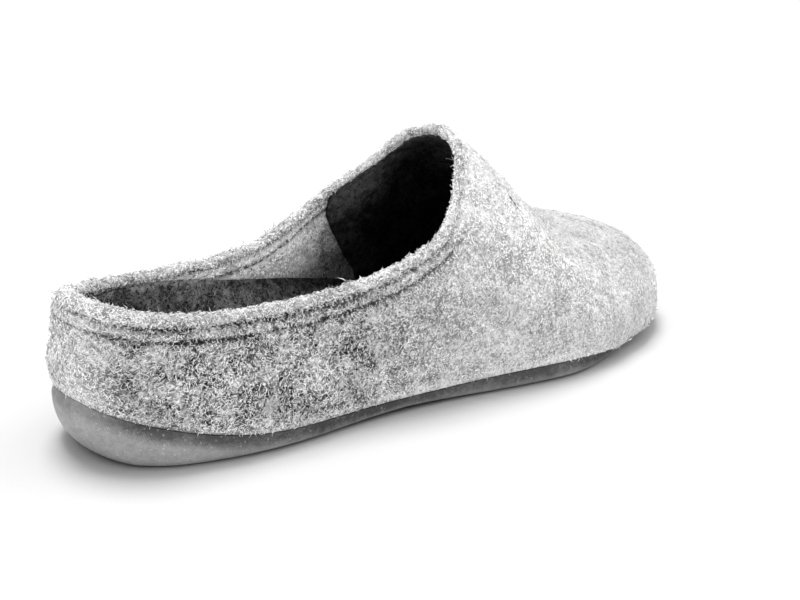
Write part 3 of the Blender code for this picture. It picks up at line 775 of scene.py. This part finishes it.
# %% Bent spindles from arrays
Fuzz = namedtuple("Fuzz", "length spread lift stand curl radius")    # stand is the share that sticks out
SPINDLE = ((1, 2, 4), (2, 3, 4), (3, 1, 4), (2, 1, 0), (3, 2, 0), (1, 3, 0))
SPINDLE_SPOTS = np.array([(0.0, 0.5), (0.5, 0.0), (0.5, 0.5), (0.5, 1.0), (1.0, 0.5)])
ROOT_SINK, STAND_LIFT, STAND_SPREAD, STAND_SHORT = 0.05, 0.8, 0.3, 0.5
LIFT_RANGE, BEND_RANGE, THICK_RANGE = (0.4, 1.6), (-0.6, 0.8), (0.7, 1.3)      # shares, from fibre to fibre


def fibres(name, roots, normals, fuzz, tones, slot, rng, lean=None):
    """Bent spindles on roots as one joined mesh with a tone for each fibre."""
    count = len(roots)
    side = unit(np.cross(normals, rng.normal(size=(count, 3))))
    if lean is not None:
        side = unit(side + lean)
    length = fuzz.length * np.exp(rng.normal(0.0, fuzz.spread, (count, 1)))
    stands = rng.random((count, 1)) < fuzz.stand
    length = np.where(stands, length * STAND_SHORT, length)
    steep, flat = rng.normal(STAND_LIFT, STAND_SPREAD, (count, 1)), rng.uniform(*LIFT_RANGE, (count, 1))
    first = np.where(stands, steep, fuzz.lift * flat)
    second = first * rng.uniform(*BEND_RANGE, (count, 1))
    swing = rng.normal(0.0, fuzz.curl, (count, 1))
    turned = np.cos(swing) * side + np.sin(swing) * np.cross(normals, side)
    way = np.cos(first) * side + np.sin(first) * normals
    next_way = np.cos(second) * turned + np.sin(second) * normals
    tail = roots - normals * ROOT_SINK
    bend = tail + way * length * 0.5
    tip = bend + next_way * length * 0.5
    axis = unit(tip - tail)
    across = unit(np.cross(axis, normals + 0.01))
    lifted = np.cross(axis, across)
    turns = (2.0 * math.pi * np.arange(3) / 3.0)[None, :, None]
    thick = fuzz.radius * rng.uniform(*THICK_RANGE, (count, 1, 1))
    belt = bend[:, None] + (np.cos(turns) * across[:, None] + np.sin(turns) * lifted[:, None]) * thick
    points = np.concatenate([tail[:, None], belt, tip[:, None]], 1)
    faces = (np.array(SPINDLE)[None] + (np.arange(count) * 5)[:, None, None]).reshape(-1, 3)
    corners = cell_corners(count, SPINDLE_SPOTS[np.array(SPINDLE).ravel()])
    made = piece(name, points.reshape(-1, 3), faces.tolist(), corners, slot)
    mark(made, "tone", np.repeat(tones, 5))
    return made


print("one fibre has", len(SPINDLE), "triangles")

# %% Tones of marled wool
WOOL_KINDS = ((0.85, 1.0), (0.4, 0.7), (0.0, 0.22))       # white, grey and dark fibres
WALL_SHARES, RIM_SHARES = (0.76, 0.12, 0.12), (0.66, 0.16, 0.18)
EDGE_SHARES, INNER_SHARES = (0.9, 0.07, 0.03), (0.84, 0.05, 0.11)
MARL_LUMPS = ((0.07, 8.0, 31), (0.05, 22.0, 32))
TOE_TONE, TOE_CALM, TOE_CALM_X = 0.66, 0.7, (175.0, 240.0)
RIDGE_SHADE_TONE, RIDGE_CALM, DARK_KEPT = 0.57, 0.85, 0.32


def wool_tones(roots, rng, shares):
    """Tones of marled wool: mostly white, some grey, a few dark, lighter and darker in patches, then the
    painted light, an even grey over the toe and painted shade along the vamp's top.
    """
    kind = rng.choice(len(WOOL_KINDS), len(roots), p=shares)
    plain = np.choose(kind, [rng.uniform(*kind_range, len(roots)) for kind_range in WOOL_KINDS])
    marled = plain + uneven(roots, MARL_LUMPS)
    marled += (PALE_TONE - marled) * PALE_SHARE * paleness(roots) * np.where(kind == 2, DARK_KEPT, 1.0)
    marled += (TOE_TONE - marled) * TOE_CALM * smoothstep(*TOE_CALM_X, roots[:, 0])
    return np.clip(marled + (RIDGE_SHADE_TONE - marled) * RIDGE_CALM * near_ridge(roots), 0.0, 1.0)


print("kinds of wool", len(WOOL_KINDS))

# %% Fibres on the felt, in three zones from heel to toe
WALL_FUZZ, FIBRES_PER_MM2, SEAM_THIN = Fuzz(1.95, 0.35, 0.06, 0.03, 1.2, 0.14), 2.1, 0.65
WALL_ZONES = (("wool_fibres_heel", -0.1, 0.36), ("wool_fibres_waist", 0.36, 0.68),
              ("wool_fibres_toe", 0.68, 1.1))         # shares of the way from heel to toe
EDGE_ROWS = 2
rng = np.random.default_rng(700)
outer_count, round_count = outer_skin.shape[1], ROUND_ROWS - 2
closed_felt = np.concatenate([felt_rings, felt_rings[:, :1]], axis=1)
outer_part = closed_felt[:outer_count]
thin_in_seams = 1.0 - SEAM_THIN * np.clip(outer_press.T[:-1], 0.0, 1.0)
thin_in_seams[:EDGE_ROWS] = 0.0               # fibres rooted here would hang over the sole
heel_to_toe = np.concatenate([np.arange(SIDE_COLUMNS), np.arange(SIDE_COLUMNS, 0, -1)]) / SIDE_COLUMNS
cell_area = 0.5 * np.linalg.norm(np.cross(outer_part[1:, 1:] - outer_part[:-1, :-1],
                                          outer_part[1:, :-1] - outer_part[:-1, 1:]), axis=2)
for name, start, end in WALL_ZONES:
    zone = ((heel_to_toe >= start) & (heel_to_toe < end))[None] * thin_in_seams
    roots, normals = scatter(outer_part, zone, round(FIBRES_PER_MM2 * (cell_area * (zone > 0)).sum()), rng)
    fibres(name, roots, normals, WALL_FUZZ, wool_tones(roots, rng, WALL_SHARES), "upper_felt", rng)
print("felt outside", round(cell_area.sum()), "square mm")

# %% Fuzz and stray hairs on the cut edge
RIM_FUZZ, RIM_COUNT = Fuzz(1.4, 0.35, 0.45, 0.0, 0.9, 0.12), 13000
RIM_MARGIN = 5                # rows of the mesh on each side of the edge
HAIR_FUZZ, HAIR_COUNT, HAIR_TONES = Fuzz(3.2, 0.3, 0.5, 0.0, 0.5, 0.045), 40, (0.6, 0.9)
rim_part = closed_felt[outer_count - RIM_MARGIN:outer_count + round_count + RIM_MARGIN]
roots, normals = scatter(rim_part, 1.0, RIM_COUNT, rng)
fibres("collar_fuzz", roots, normals, RIM_FUZZ, wool_tones(roots, rng, RIM_SHARES), "upper_felt", rng)
roots, normals = scatter(rim_part, 1.0, HAIR_COUNT, rng)
fibres("stray_hairs", roots, normals, HAIR_FUZZ, rng.uniform(*HAIR_TONES, HAIR_COUNT), "upper_felt", rng)

# %% Dark tuft on the vamp
TUFT_START, TUFT_END = np.array([175.0, -25.4, 72.5]), np.array([176.5, -28.3, 68.1])
TUFT_OUT, TUFT_LIFT, TUFT_STRAY = np.array([0.45, -0.67, 0.59]), 0.2, 0.15
TUFT_FUZZ, TUFT_COUNT, TUFT_TONES, TUFT_LEAN = Fuzz(1.7, 0.25, 0.1, 0.0, 0.2, 0.15), 22, (0.05, 0.3), 5.0
tuft_way = TUFT_END - TUFT_START
roots = TUFT_START + tuft_way * rng.random((TUFT_COUNT, 1)) + TUFT_OUT * TUFT_LIFT
roots = roots + rng.normal(0.0, TUFT_STRAY, (TUFT_COUNT, 3))
normals, tones = np.tile(TUFT_OUT, (TUFT_COUNT, 1)), rng.uniform(*TUFT_TONES, TUFT_COUNT)
fibres("dark_tuft_on_vamp", roots, normals, TUFT_FUZZ, tones, "upper_felt", rng,
       lean=TUFT_LEAN * unit(tuft_way))

# %% Wisps over the sole
EDGE_FUZZ, EDGE_COUNT, EDGE_BAND, EDGE_LEAN = Fuzz(1.2, 0.3, 0.15, 0.0, 0.9, 0.12), 4200, slice(1, 5), 0.15
roots, normals = scatter(closed_felt[EDGE_BAND], 1.0, EDGE_COUNT, rng)
tones = wool_tones(roots, rng, EDGE_SHARES)
fibres("edge_wisps", roots, normals, EDGE_FUZZ, tones, "upper_felt", rng, lean=EDGE_LEAN * UP)

# %% Fuzz on the inside of the wall
INNER_FUZZ, INNER_COUNT, INNER_SEAM_THIN = Fuzz(2.0, 0.35, 0.08, 0.03, 1.1, 0.18), 70000, 4.0
INNER_DIM, INNER_MARGIN, INNER_MARL = 0.35, 1.0, ((0.2, 2.2, 33),)
thin_inside = np.clip(1.0 - INNER_SEAM_THIN * inner_press.T[::-1][:-1], 0.0, 1.0)
roots, normals = scatter(closed_felt[outer_count + round_count:], thin_inside, INNER_COUNT, rng)
kept = roots[:, 0] < np.interp(roots[:, 2], edge_table[:, 0], edge_table[:, 1]) - INNER_MARGIN
kept &= roots[:, 2] > np.interp(roots[:, 0], bed_table[:, 0], bed_table[:, 1]) - INNER_MARGIN
roots, normals = roots[kept], normals[kept]           # those behind the lining and the footbed are left out
# the fibres carry the same painted light and shade as the inside of the wall
tones = wool_tones(roots, rng, INNER_SHARES) * (INNER_DIM + (1.0 - INNER_DIM) * inside_painted_light(roots[:, 0]))
tones = np.clip(tones + uneven(roots, INNER_MARL), 0.0, 1.0)
fibres("inner_wall_fuzz", roots, normals, INNER_FUZZ, tones, "upper_felt", rng)

# %% Fibres on the footbed
BED_FUZZ, BED_COUNT = Fuzz(2.3, 0.35, 0.1, 0.05, 1.0, 0.1), 9000
BED_LIGHT_SHARE, BED_LIGHT, BED_DARK = 0.35, (0.4, 0.9), (0.0, 0.25)
bed_grid = np.array(bed_points[bed_top_start:]).reshape(SIDE_COLUMNS - 1, BED_ACROSS, 3)
roots, normals = scatter(bed_grid, 1.0, BED_COUNT, rng)
normals = normals * np.sign(normals[:, 2:])
light = rng.random(BED_COUNT) < BED_LIGHT_SHARE
tones = np.where(light, rng.uniform(*BED_LIGHT, BED_COUNT), rng.uniform(*BED_DARK, BED_COUNT))
fibres("insole_fibres", roots, normals, BED_FUZZ, tones, "insole_felt", rng)
print("triangles in all", sum(triangle_counts.values()))

# %% [markdown]
# ## Finishes
#
# Three felts share one effect, so it is a node group: marled patches, small clumps, curled fibres drawn as
# the level lines of a noise, and dark gaps between them. The group gives a tone and a height; each felt has
# its own colours.

# %% Node helpers


def add_node(tree, kind, **settings):
    """A node with attributes and plain input values set by name."""
    made = tree.nodes.new(kind)
    for key, value in settings.items():
        if hasattr(made, key):
            setattr(made, key, value)
        else:
            made.inputs[key.replace("_", " ")].default_value = value
    return made


def math_node(tree, operation, *inputs, clamp=False):
    """A Math node whose inputs are numbers or sockets; returns its output."""
    made = tree.nodes.new("ShaderNodeMath")
    made.operation, made.use_clamp = operation, clamp
    for place, value in zip(made.inputs, inputs):
        if isinstance(value, bpy.types.NodeSocket):
            tree.links.new(value, place)
        else:
            place.default_value = value
    return made.outputs[0]


print("node helpers ready")

# %% Ramp and noise nodes


def ramp_node(tree, value, low_in, high_in, low_out=0.0, high_out=1.0):
    """Smooth map of a value from one range to another."""
    made = tree.nodes.new("ShaderNodeMapRange")
    made.interpolation_type = "SMOOTHSTEP"
    tree.links.new(value, made.inputs["Value"])
    ends = (("From Min", low_in), ("From Max", high_in), ("To Min", low_out), ("To Max", high_out))
    for key, number in ends:
        made.inputs[key].default_value = number
    return made.outputs["Result"]


def noise_node(tree, place, scale, detail=1.0, roughness=0.5, distortion=0.0, seed=0.0):
    """Noise over the surface; a seed moves it to another part of the noise."""
    made = add_node(tree, "ShaderNodeTexNoise", noise_dimensions="4D")
    tree.links.new(place, made.inputs["Vector"])
    for key, value in (("Scale", scale), ("Detail", detail), ("Roughness", roughness),
                       ("Distortion", distortion), ("W", seed)):
        if isinstance(value, bpy.types.NodeSocket):
            tree.links.new(value, made.inputs[key])
        else:
            made.inputs[key].default_value = value
    return made.outputs["Fac"]


print("ramp and noise ready")

# %% Felt tangle, shared by upper, insole and lining
FELT_INPUTS = (("Patch Scale", 105.0), ("Patch", 0.5), ("Curl Scale", 460.0), ("Curl", 0.5), ("Gap", 0.5),
               ("Level", 0.4))
CURL_LAYERS = ((7.3, 1.0, 0.075), (11.9, 1.4, 0.08), (17.7, 1.9, 0.09))   # seed, scale and width of lines
CLUMP_SCALE, CLUMP_SHARE, GAP_SCALE = 4.2, 0.8, 1.7
CURL_HIGH, CLUMP_HIGH, GAP_DEEP = 0.6, 0.5, 0.5


def felt_tangle_group():
    """Group with the marl and curled fibres of felt."""
    group = bpy.data.node_groups.new("felt_tangle", "ShaderNodeTree")
    for name, start in FELT_INPUTS:
        socket = group.interface.new_socket(name=name, in_out="INPUT", socket_type="NodeSocketFloat")
        socket.default_value = start
    for name in ("Tone", "Height"):
        group.interface.new_socket(name=name, in_out="OUTPUT", socket_type="NodeSocketFloat")
    given, result = group.nodes.new("NodeGroupInput"), group.nodes.new("NodeGroupOutput")
    place = group.nodes.new("ShaderNodeTexCoord").outputs["Object"]
    patch = ramp_node(group, noise_node(group, place, given.outputs["Patch Scale"], 3.0, 0.6, 0.4), 0.3, 0.7)
    clump_scale = math_node(group, "MULTIPLY", given.outputs["Patch Scale"], CLUMP_SCALE)
    clump = ramp_node(group, noise_node(group, place, clump_scale, 2.0, 0.6, 0.3, 3.1), 0.25, 0.75)
    curls = None
    for seed, factor, wide in CURL_LAYERS:
        scale = math_node(group, "MULTIPLY", given.outputs["Curl Scale"], factor)
        level = noise_node(group, place, scale, 0.6, 0.5, 0.9, seed)
        line = math_node(group, "ABSOLUTE", math_node(group, "SUBTRACT", level, 0.5))
        line = ramp_node(group, line, 0.0, wide, 1.0, 0.0)
        curls = line if curls is None else math_node(group, "MAXIMUM", curls, line)
    gap_scale = math_node(group, "MULTIPLY", given.outputs["Curl Scale"], GAP_SCALE)
    gap = ramp_node(group, noise_node(group, place, gap_scale, 1.0, 0.5, 0.5, 23.3), 0.38, 0.54, 1.0, 0.0)
    gap = math_node(group, "MULTIPLY", gap, math_node(group, "SUBTRACT", 1.0, curls))
    tone = math_node(group, "MULTIPLY", math_node(group, "SUBTRACT", patch, 0.5), given.outputs["Patch"])
    clump_share = math_node(group, "MULTIPLY", given.outputs["Patch"], CLUMP_SHARE)
    clump_tone = math_node(group, "MULTIPLY", math_node(group, "SUBTRACT", clump, 0.5), clump_share)
    tone = math_node(group, "ADD", tone, clump_tone)
    tone = math_node(group, "ADD", tone, math_node(group, "MULTIPLY", curls, given.outputs["Curl"]))
    tone = math_node(group, "SUBTRACT", tone, math_node(group, "MULTIPLY", gap, given.outputs["Gap"]))
    tone = math_node(group, "ADD", tone, given.outputs["Level"], clamp=True)
    height = math_node(group, "ADD", math_node(group, "MULTIPLY", curls, CURL_HIGH),
                       math_node(group, "MULTIPLY", clump, CLUMP_HIGH))
    height = math_node(group, "SUBTRACT", height, math_node(group, "MULTIPLY", gap, GAP_DEEP))
    group.links.new(tone, result.inputs["Tone"])
    group.links.new(height, result.inputs["Height"])
    return group


tangle = felt_tangle_group()
print("group", tangle.name, "with", len(tangle.nodes), "nodes")

# %% Material helpers


def new_material(name, roughness):
    """Material with a Principled shader; returns material, tree and shader."""
    material = bpy.data.materials.new(name)
    material.use_nodes = True
    shader = material.node_tree.nodes["Principled BSDF"]
    shader.inputs["Roughness"].default_value = roughness
    shader.inputs["Specular IOR Level"].default_value = 0.2
    return material, material.node_tree, shader


def grey(value):
    """A grey colour."""
    return (value, value, value, 1.0)


def mix_greys(tree, factor, dark, light, shader):
    """Base Color between two greys by a factor socket."""
    mixed = add_node(tree, "ShaderNodeMix", data_type="RGBA")
    colours = [x for x in mixed.inputs if x.type == "RGBA"]
    colours[0].default_value, colours[1].default_value = grey(dark), grey(light)
    tree.links.new(factor, mixed.inputs["Factor"])
    result = [x for x in mixed.outputs if x.type == "RGBA"][0]
    tree.links.new(result, shader.inputs["Base Color"])


print("material helpers ready")

# %% Felt and fibre materials
Felt = namedtuple("Felt", "name dark light level patch curl gap bump press")   # dark and light are greys
UPPER_FELT = Felt("grey_wool_felt", 0.008, 0.8, 0.09, 0.5, 0.25, 0.4, 0.00025, 0.42)
INSOLE_FELT = Felt("dark_insole_felt", 0.003, 0.18, 0.1, 0.5, 0.4, 0.4, 0.0002, 0.0)
LINING_FELT = Felt("black_lining", 0.0005, 0.058, 0.2, 0.7, 0.3, 0.4, 0.0001, 0.0)
FELT_ROUGH, FIBRE_ROUGH = 0.95, 0.8


def felt_material(felt):
    """Marled felt: colours and bump from the shared group, darker where a seam presses it, paler by the pale
    mark, which holds painted light.
    """
    material, tree, shader = new_material(felt.name, FELT_ROUGH)
    wool = add_node(tree, "ShaderNodeGroup", node_tree=tangle)
    for key, value in (("Level", felt.level), ("Patch", felt.patch), ("Curl", felt.curl), ("Gap", felt.gap)):
        wool.inputs[key].default_value = value
    tone = wool.outputs["Tone"]
    if felt.press:
        pressed = add_node(tree, "ShaderNodeAttribute", attribute_name="press").outputs["Fac"]
        tone = math_node(tree, "SUBTRACT", tone, math_node(tree, "MULTIPLY", pressed, felt.press), clamp=True)
        # the pale mark holds the felt's painted light and shade, and the paler foot
        pale = add_node(tree, "ShaderNodeAttribute", attribute_name="pale").outputs["Fac"]
        pale = math_node(tree, "MULTIPLY", pale, math_node(tree, "SUBTRACT", 1.0, pressed, clamp=True))
        lift_by = math_node(tree, "MULTIPLY", math_node(tree, "SUBTRACT", PALE_TONE, tone), pale)
        tone = math_node(tree, "ADD", tone, math_node(tree, "MULTIPLY", lift_by, GROUND_PALE))
    mix_greys(tree, tone, felt.dark, felt.light, shader)
    raised = add_node(tree, "ShaderNodeBump", Strength=1.0, Distance=felt.bump)
    tree.links.new(wool.outputs["Height"], raised.inputs["Height"])
    tree.links.new(raised.outputs["Normal"], shader.inputs["Normal"])
    return material


def fibre_material(name, dark, light):
    """Loose fibres: tone of each fibre from the mesh."""
    material, tree, shader = new_material(name, FIBRE_ROUGH)
    tone = add_node(tree, "ShaderNodeAttribute", attribute_name="tone")
    mix_greys(tree, tone.outputs["Fac"], dark, light, shader)
    return material


wool_fibre = fibre_material("loose_wool", 0.02, 0.94)
finishes = {"felt_upper": felt_material(UPPER_FELT), "felt_insole": felt_material(INSOLE_FELT),
            "vamp_lining": felt_material(LINING_FELT),
            "insole_fibres": fibre_material("loose_insole_wool", 0.004, 0.4)}
for name in ("wool_fibres_heel", "wool_fibres_waist", "wool_fibres_toe", "collar_fuzz", "stray_hairs",
             "dark_tuft_on_vamp", "edge_wisps", "inner_wall_fuzz"):
    finishes[name] = wool_fibre
print("felt and fibre finishes", len(finishes))

# %% Thread, and a finish on every felt piece
THREAD_ROUGH, THREAD_SCALE, THREAD_DARK, THREAD_LIGHT = 0.75, 900.0, 0.012, 0.06
thread, tree, shader = new_material("dark_thread", THREAD_ROUGH)
twist = noise_node(tree, tree.nodes.new("ShaderNodeTexCoord").outputs["Object"], THREAD_SCALE, 1.0)
mix_greys(tree, twist, THREAD_DARK, THREAD_LIGHT, shader)
finishes["collar_stitching"] = thread
for name, material in finishes.items():
    bpy.data.objects[name].data.materials.append(material)
print("finishes set on", len(finishes), "pieces")

# %% [markdown]
# ## Moulded rubber
#
# The sole is matt grey rubber with small pale flecks of ground filler, a faint cloudiness and, in the upper
# part, a fine slanted hatch from the mould. The cove under the felt lies in the felt's shadow, so the mesh
# marks it and painted shade makes it darker there.

# %% Rubber with pale flecks
RUBBER_ROUGH, RUBBER_GLOSS, RUBBER_DARK, RUBBER_LIGHT = 0.55, 0.35, 0.02, 0.5
CLOUD_SCALE, CLOUD_LOW, CLOUD_HIGH, MOTTLE_SCALE, MOTTLE = 60.0, 0.345, 0.465, 420.0, 0.045
FLECK_SCALE, FLECK_SIZE, FLECK_TONE, COVE_PAINTED_SHADE = 560.0, 0.27, 0.16, 0.4
rubber, tree, shader = new_material("grey_rubber", RUBBER_ROUGH)
shader.inputs["Specular IOR Level"].default_value = RUBBER_GLOSS
place = tree.nodes.new("ShaderNodeTexCoord").outputs["Object"]
cloud = ramp_node(tree, noise_node(tree, place, CLOUD_SCALE, 3.0, 0.6), 0.3, 0.7, CLOUD_LOW, CLOUD_HIGH)
mottle = ramp_node(tree, noise_node(tree, place, MOTTLE_SCALE, 2.0, 0.6, 0.0, 5.5), 0.3, 0.7, -MOTTLE, MOTTLE)
cells = add_node(tree, "ShaderNodeTexVoronoi", Scale=FLECK_SCALE)
tree.links.new(place, cells.inputs["Vector"])
random_of_cell = tree.nodes.new("ShaderNodeSeparateColor")
tree.links.new(cells.outputs["Color"], random_of_cell.inputs["Color"])
fleck_size = ramp_node(tree, random_of_cell.outputs["Red"], 0.15, 1.0, 0.0, FLECK_SIZE)
fleck = math_node(tree, "LESS_THAN", cells.outputs["Distance"], fleck_size)
tone = math_node(tree, "ADD", cloud, mottle)
tone = math_node(tree, "ADD", tone, math_node(tree, "MULTIPLY", fleck, FLECK_TONE))
cove = add_node(tree, "ShaderNodeAttribute", attribute_name="cove").outputs["Fac"]
# painted shade in the cove under the felt
tone = math_node(tree, "SUBTRACT", tone, math_node(tree, "MULTIPLY", cove, COVE_PAINTED_SHADE))
print("rubber clouded and flecked")

# %% Mould hatch and grain of the rubber
HATCH_COUNT, HATCH_RISE = 760.0, 500.0        # hatch lines round the sole, and how fast they climb, per metre
HATCH_TONE, HATCH_HIGH, GRAIN_SCALE, GRAIN_TONE = 0.04, 0.6, 1500.0, 0.3
RUBBER_BUMP, RUBBER_BUMP_HIGH = 0.4, 0.0001
mould = tree.nodes.new("ShaderNodeSeparateXYZ")
tree.links.new(add_node(tree, "ShaderNodeUVMap", uv_map="OFBake").outputs["UV"], mould.inputs[0])
rising = tree.nodes.new("ShaderNodeSeparateXYZ")
tree.links.new(place, rising.inputs[0])
slant = math_node(tree, "ADD", math_node(tree, "MULTIPLY", mould.outputs["X"], HATCH_COUNT),
                  math_node(tree, "MULTIPLY", rising.outputs["Z"], HATCH_RISE))
hatch = math_node(tree, "SINE", math_node(tree, "MULTIPLY", slant, 2.0 * math.pi))
hatch = math_node(tree, "MULTIPLY", hatch, ramp_node(tree, cove, 0.0, 0.3, 0.0, 1.0))
hatch = math_node(tree, "MULTIPLY", hatch, ramp_node(tree, cove, 0.5, 0.95, 1.0, 0.0))
grain = noise_node(tree, place, GRAIN_SCALE, 2.0, 0.6)
tone = math_node(tree, "ADD", tone, math_node(tree, "MULTIPLY", hatch, HATCH_TONE))
speckle = math_node(tree, "MULTIPLY", math_node(tree, "SUBTRACT", grain, 0.5), GRAIN_TONE)
mix_greys(tree, math_node(tree, "ADD", tone, speckle, clamp=True), RUBBER_DARK, RUBBER_LIGHT, shader)
raised = add_node(tree, "ShaderNodeBump", Strength=RUBBER_BUMP, Distance=RUBBER_BUMP_HIGH)
relief = math_node(tree, "ADD", grain, math_node(tree, "MULTIPLY", hatch, HATCH_HIGH))
tree.links.new(relief, raised.inputs["Height"])
tree.links.new(raised.outputs["Normal"], shader.inputs["Normal"])
sole.data.materials.append(rubber)
print("rubber set")

# %% [markdown]
# ## Floor, light and camera
#
# The picture is high-key: a white floor and soft light, with a short shadow that is dark only where the
# sole meets the floor. One set of suns can't give both the light on the felt and that shadow, so there are
# two sets, kept apart by light linking. The shoe has one sun from above, one at the heel and a low one on
# the near side, and a small spot lamp lights the inside of the far wall. The floor has a very wide sun
# above it, one from the far side that lays the shadow along the near edge of the sole, and a weak one from
# the toe. A weak white world fills the rest. The floor is a pale grey that the light lifts to white, so it
# throws less light back up the sides than a white one would.

# %% Floor and world
FLOOR_HALF, FLOOR_DROP, FLOOR_ROUGH, FLOOR_GREY, WORLD_LIGHT = 12.0, 0.00005, 0.9, 0.405, 0.15
floor_mesh = bpy.data.meshes.new("floor")
floor_signs = ((-1, -1), (1, -1), (1, 1), (-1, 1))
floor_points = [(x * FLOOR_HALF, y * FLOOR_HALF, -FLOOR_DROP) for x, y in floor_signs]
floor_mesh.from_pydata(floor_points, [], [(0, 1, 2, 3)])
floor = bpy.data.objects.new("floor", floor_mesh)
bpy.context.scene.collection.objects.link(floor)
floor_paint, tree, shader = new_material("pale_floor", FLOOR_ROUGH)
shader.inputs["Base Color"].default_value = grey(FLOOR_GREY)
floor_mesh.materials.append(floor_paint)

world = bpy.data.worlds.new("studio")
bpy.context.scene.world = world
world.use_nodes = True
world.node_tree.nodes["Background"].inputs["Color"].default_value = grey(1.0)
world.node_tree.nodes["Background"].inputs["Strength"].default_value = WORLD_LIGHT
print("floor", 2.0 * FLOOR_HALF, "m wide")

# %% Suns
shoe_alone = bpy.data.collections.new("lamps on the shoe")
floor_alone = bpy.data.collections.new("lamps on the floor")
for group, state in ((shoe_alone, "EXCLUDE"), (floor_alone, "INCLUDE")):
    group.objects.link(floor)
    group.collection_objects[0].light_linking.link_state = state

Sun = namedtuple("Sun", "name azimuth elevation power spread lights")
SUNS = (                      # azimuth is the side the light comes from, 0 at the toe, 90 at the inner side
    Sun("overhead", 60.0, 78.0, 5.6, 22.0, shoe_alone),
    Sun("heel side", 148.0, 8.5, 4.7, 50.0, shoe_alone),
    Sun("outer side", 268.0, 14.0, 2.75, 20.0, shoe_alone),
    Sun("over the floor", 0.0, 90.0, 3.4, 120.0, floor_alone),
    Sun("along the floor", 84.0, 78.0, 3.9, 24.0, floor_alone),
    Sun("from the toe", -12.0, 38.0, 0.9, 50.0, floor_alone),
)
for row in SUNS:
    lamp = bpy.data.lights.new(row.name, "SUN")
    lamp.energy, lamp.angle = row.power, math.radians(row.spread)
    sun = bpy.data.objects.new(row.name, lamp)
    a, e = math.radians(row.azimuth), math.radians(row.elevation)
    way = Vector((math.cos(a) * math.cos(e), math.sin(a) * math.cos(e), math.sin(e)))
    sun.rotation_mode = "QUATERNION"
    sun.rotation_quaternion = way.to_track_quat("Z", "Y")
    sun.light_linking.receiver_collection = row.lights
    bpy.context.scene.collection.objects.link(sun)
print("suns", [row.name for row in SUNS])

# %% Lamp for the inside of the far wall
INSIDE_PLACE, INSIDE_AIM = np.array([95.0, -160.0, 240.0]), np.array([92.0, 29.0, 44.0])
INSIDE_CONE, INSIDE_POWER, INSIDE_BULB = math.radians(16.0), 1.5, 0.02
lamp = bpy.data.lights.new("inside lamp", "SPOT")
lamp.spot_size, lamp.spot_blend = INSIDE_CONE, 1.0
lamp.energy, lamp.shadow_soft_size = INSIDE_POWER, INSIDE_BULB
snoot = bpy.data.objects.new("inside lamp", lamp)
snoot.location = (INSIDE_PLACE + ORIGIN_SHIFT) * MM
snoot.rotation_mode = "QUATERNION"
snoot.rotation_quaternion = Vector(INSIDE_PLACE - INSIDE_AIM).to_track_quat("Z", "Y")
bpy.context.scene.collection.objects.link(snoot)
bpy.context.scene.view_settings.view_transform = "Standard"
print("inside lamp", INSIDE_POWER, "W")

# %% Camera at the photograph's angle
AZIMUTH, ELEVATION, ROLL = math.radians(-36.95), math.radians(22.91), math.radians(1.65)
FOCAL_PIXELS, PICTURE_WIDE, SENSOR_WIDE = 1981.49, 800.0, 36.0
AIM = np.array([130.0, 0.0, 40.0])
AWAY, ASIDE, ABOVE = 750.54, 11.62, -8.83
level = np.array([math.cos(AZIMUTH), math.sin(AZIMUTH), 0.0])
behind = np.array([math.sin(AZIMUTH), -math.cos(AZIMUTH), 0.0])
back = behind * math.cos(ELEVATION) + UP * math.sin(ELEVATION)
upright = np.cross(back, level)
right = math.cos(ROLL) * level + math.sin(ROLL) * upright
top = -math.sin(ROLL) * level + math.cos(ROLL) * upright
eye = (AIM + back * AWAY + right * ASIDE + top * ABOVE + ORIGIN_SHIFT) * MM
lens = bpy.data.cameras.new("camera")
lens.sensor_width, lens.lens = SENSOR_WIDE, FOCAL_PIXELS * SENSOR_WIDE / PICTURE_WIDE
lens.clip_start, lens.clip_end = 0.01, 50.0
camera = bpy.data.objects.new("camera", lens)
bpy.context.scene.collection.objects.link(camera)
camera_rows = [[right[k], top[k], back[k], eye[k]] for k in range(3)]
camera.matrix_world = Matrix(camera_rows + [[0.0, 0.0, 0.0, 1.0]])
bpy.context.scene.camera = camera
print("camera", [round(float(v), 3) for v in eye], "lens", round(lens.lens, 1))
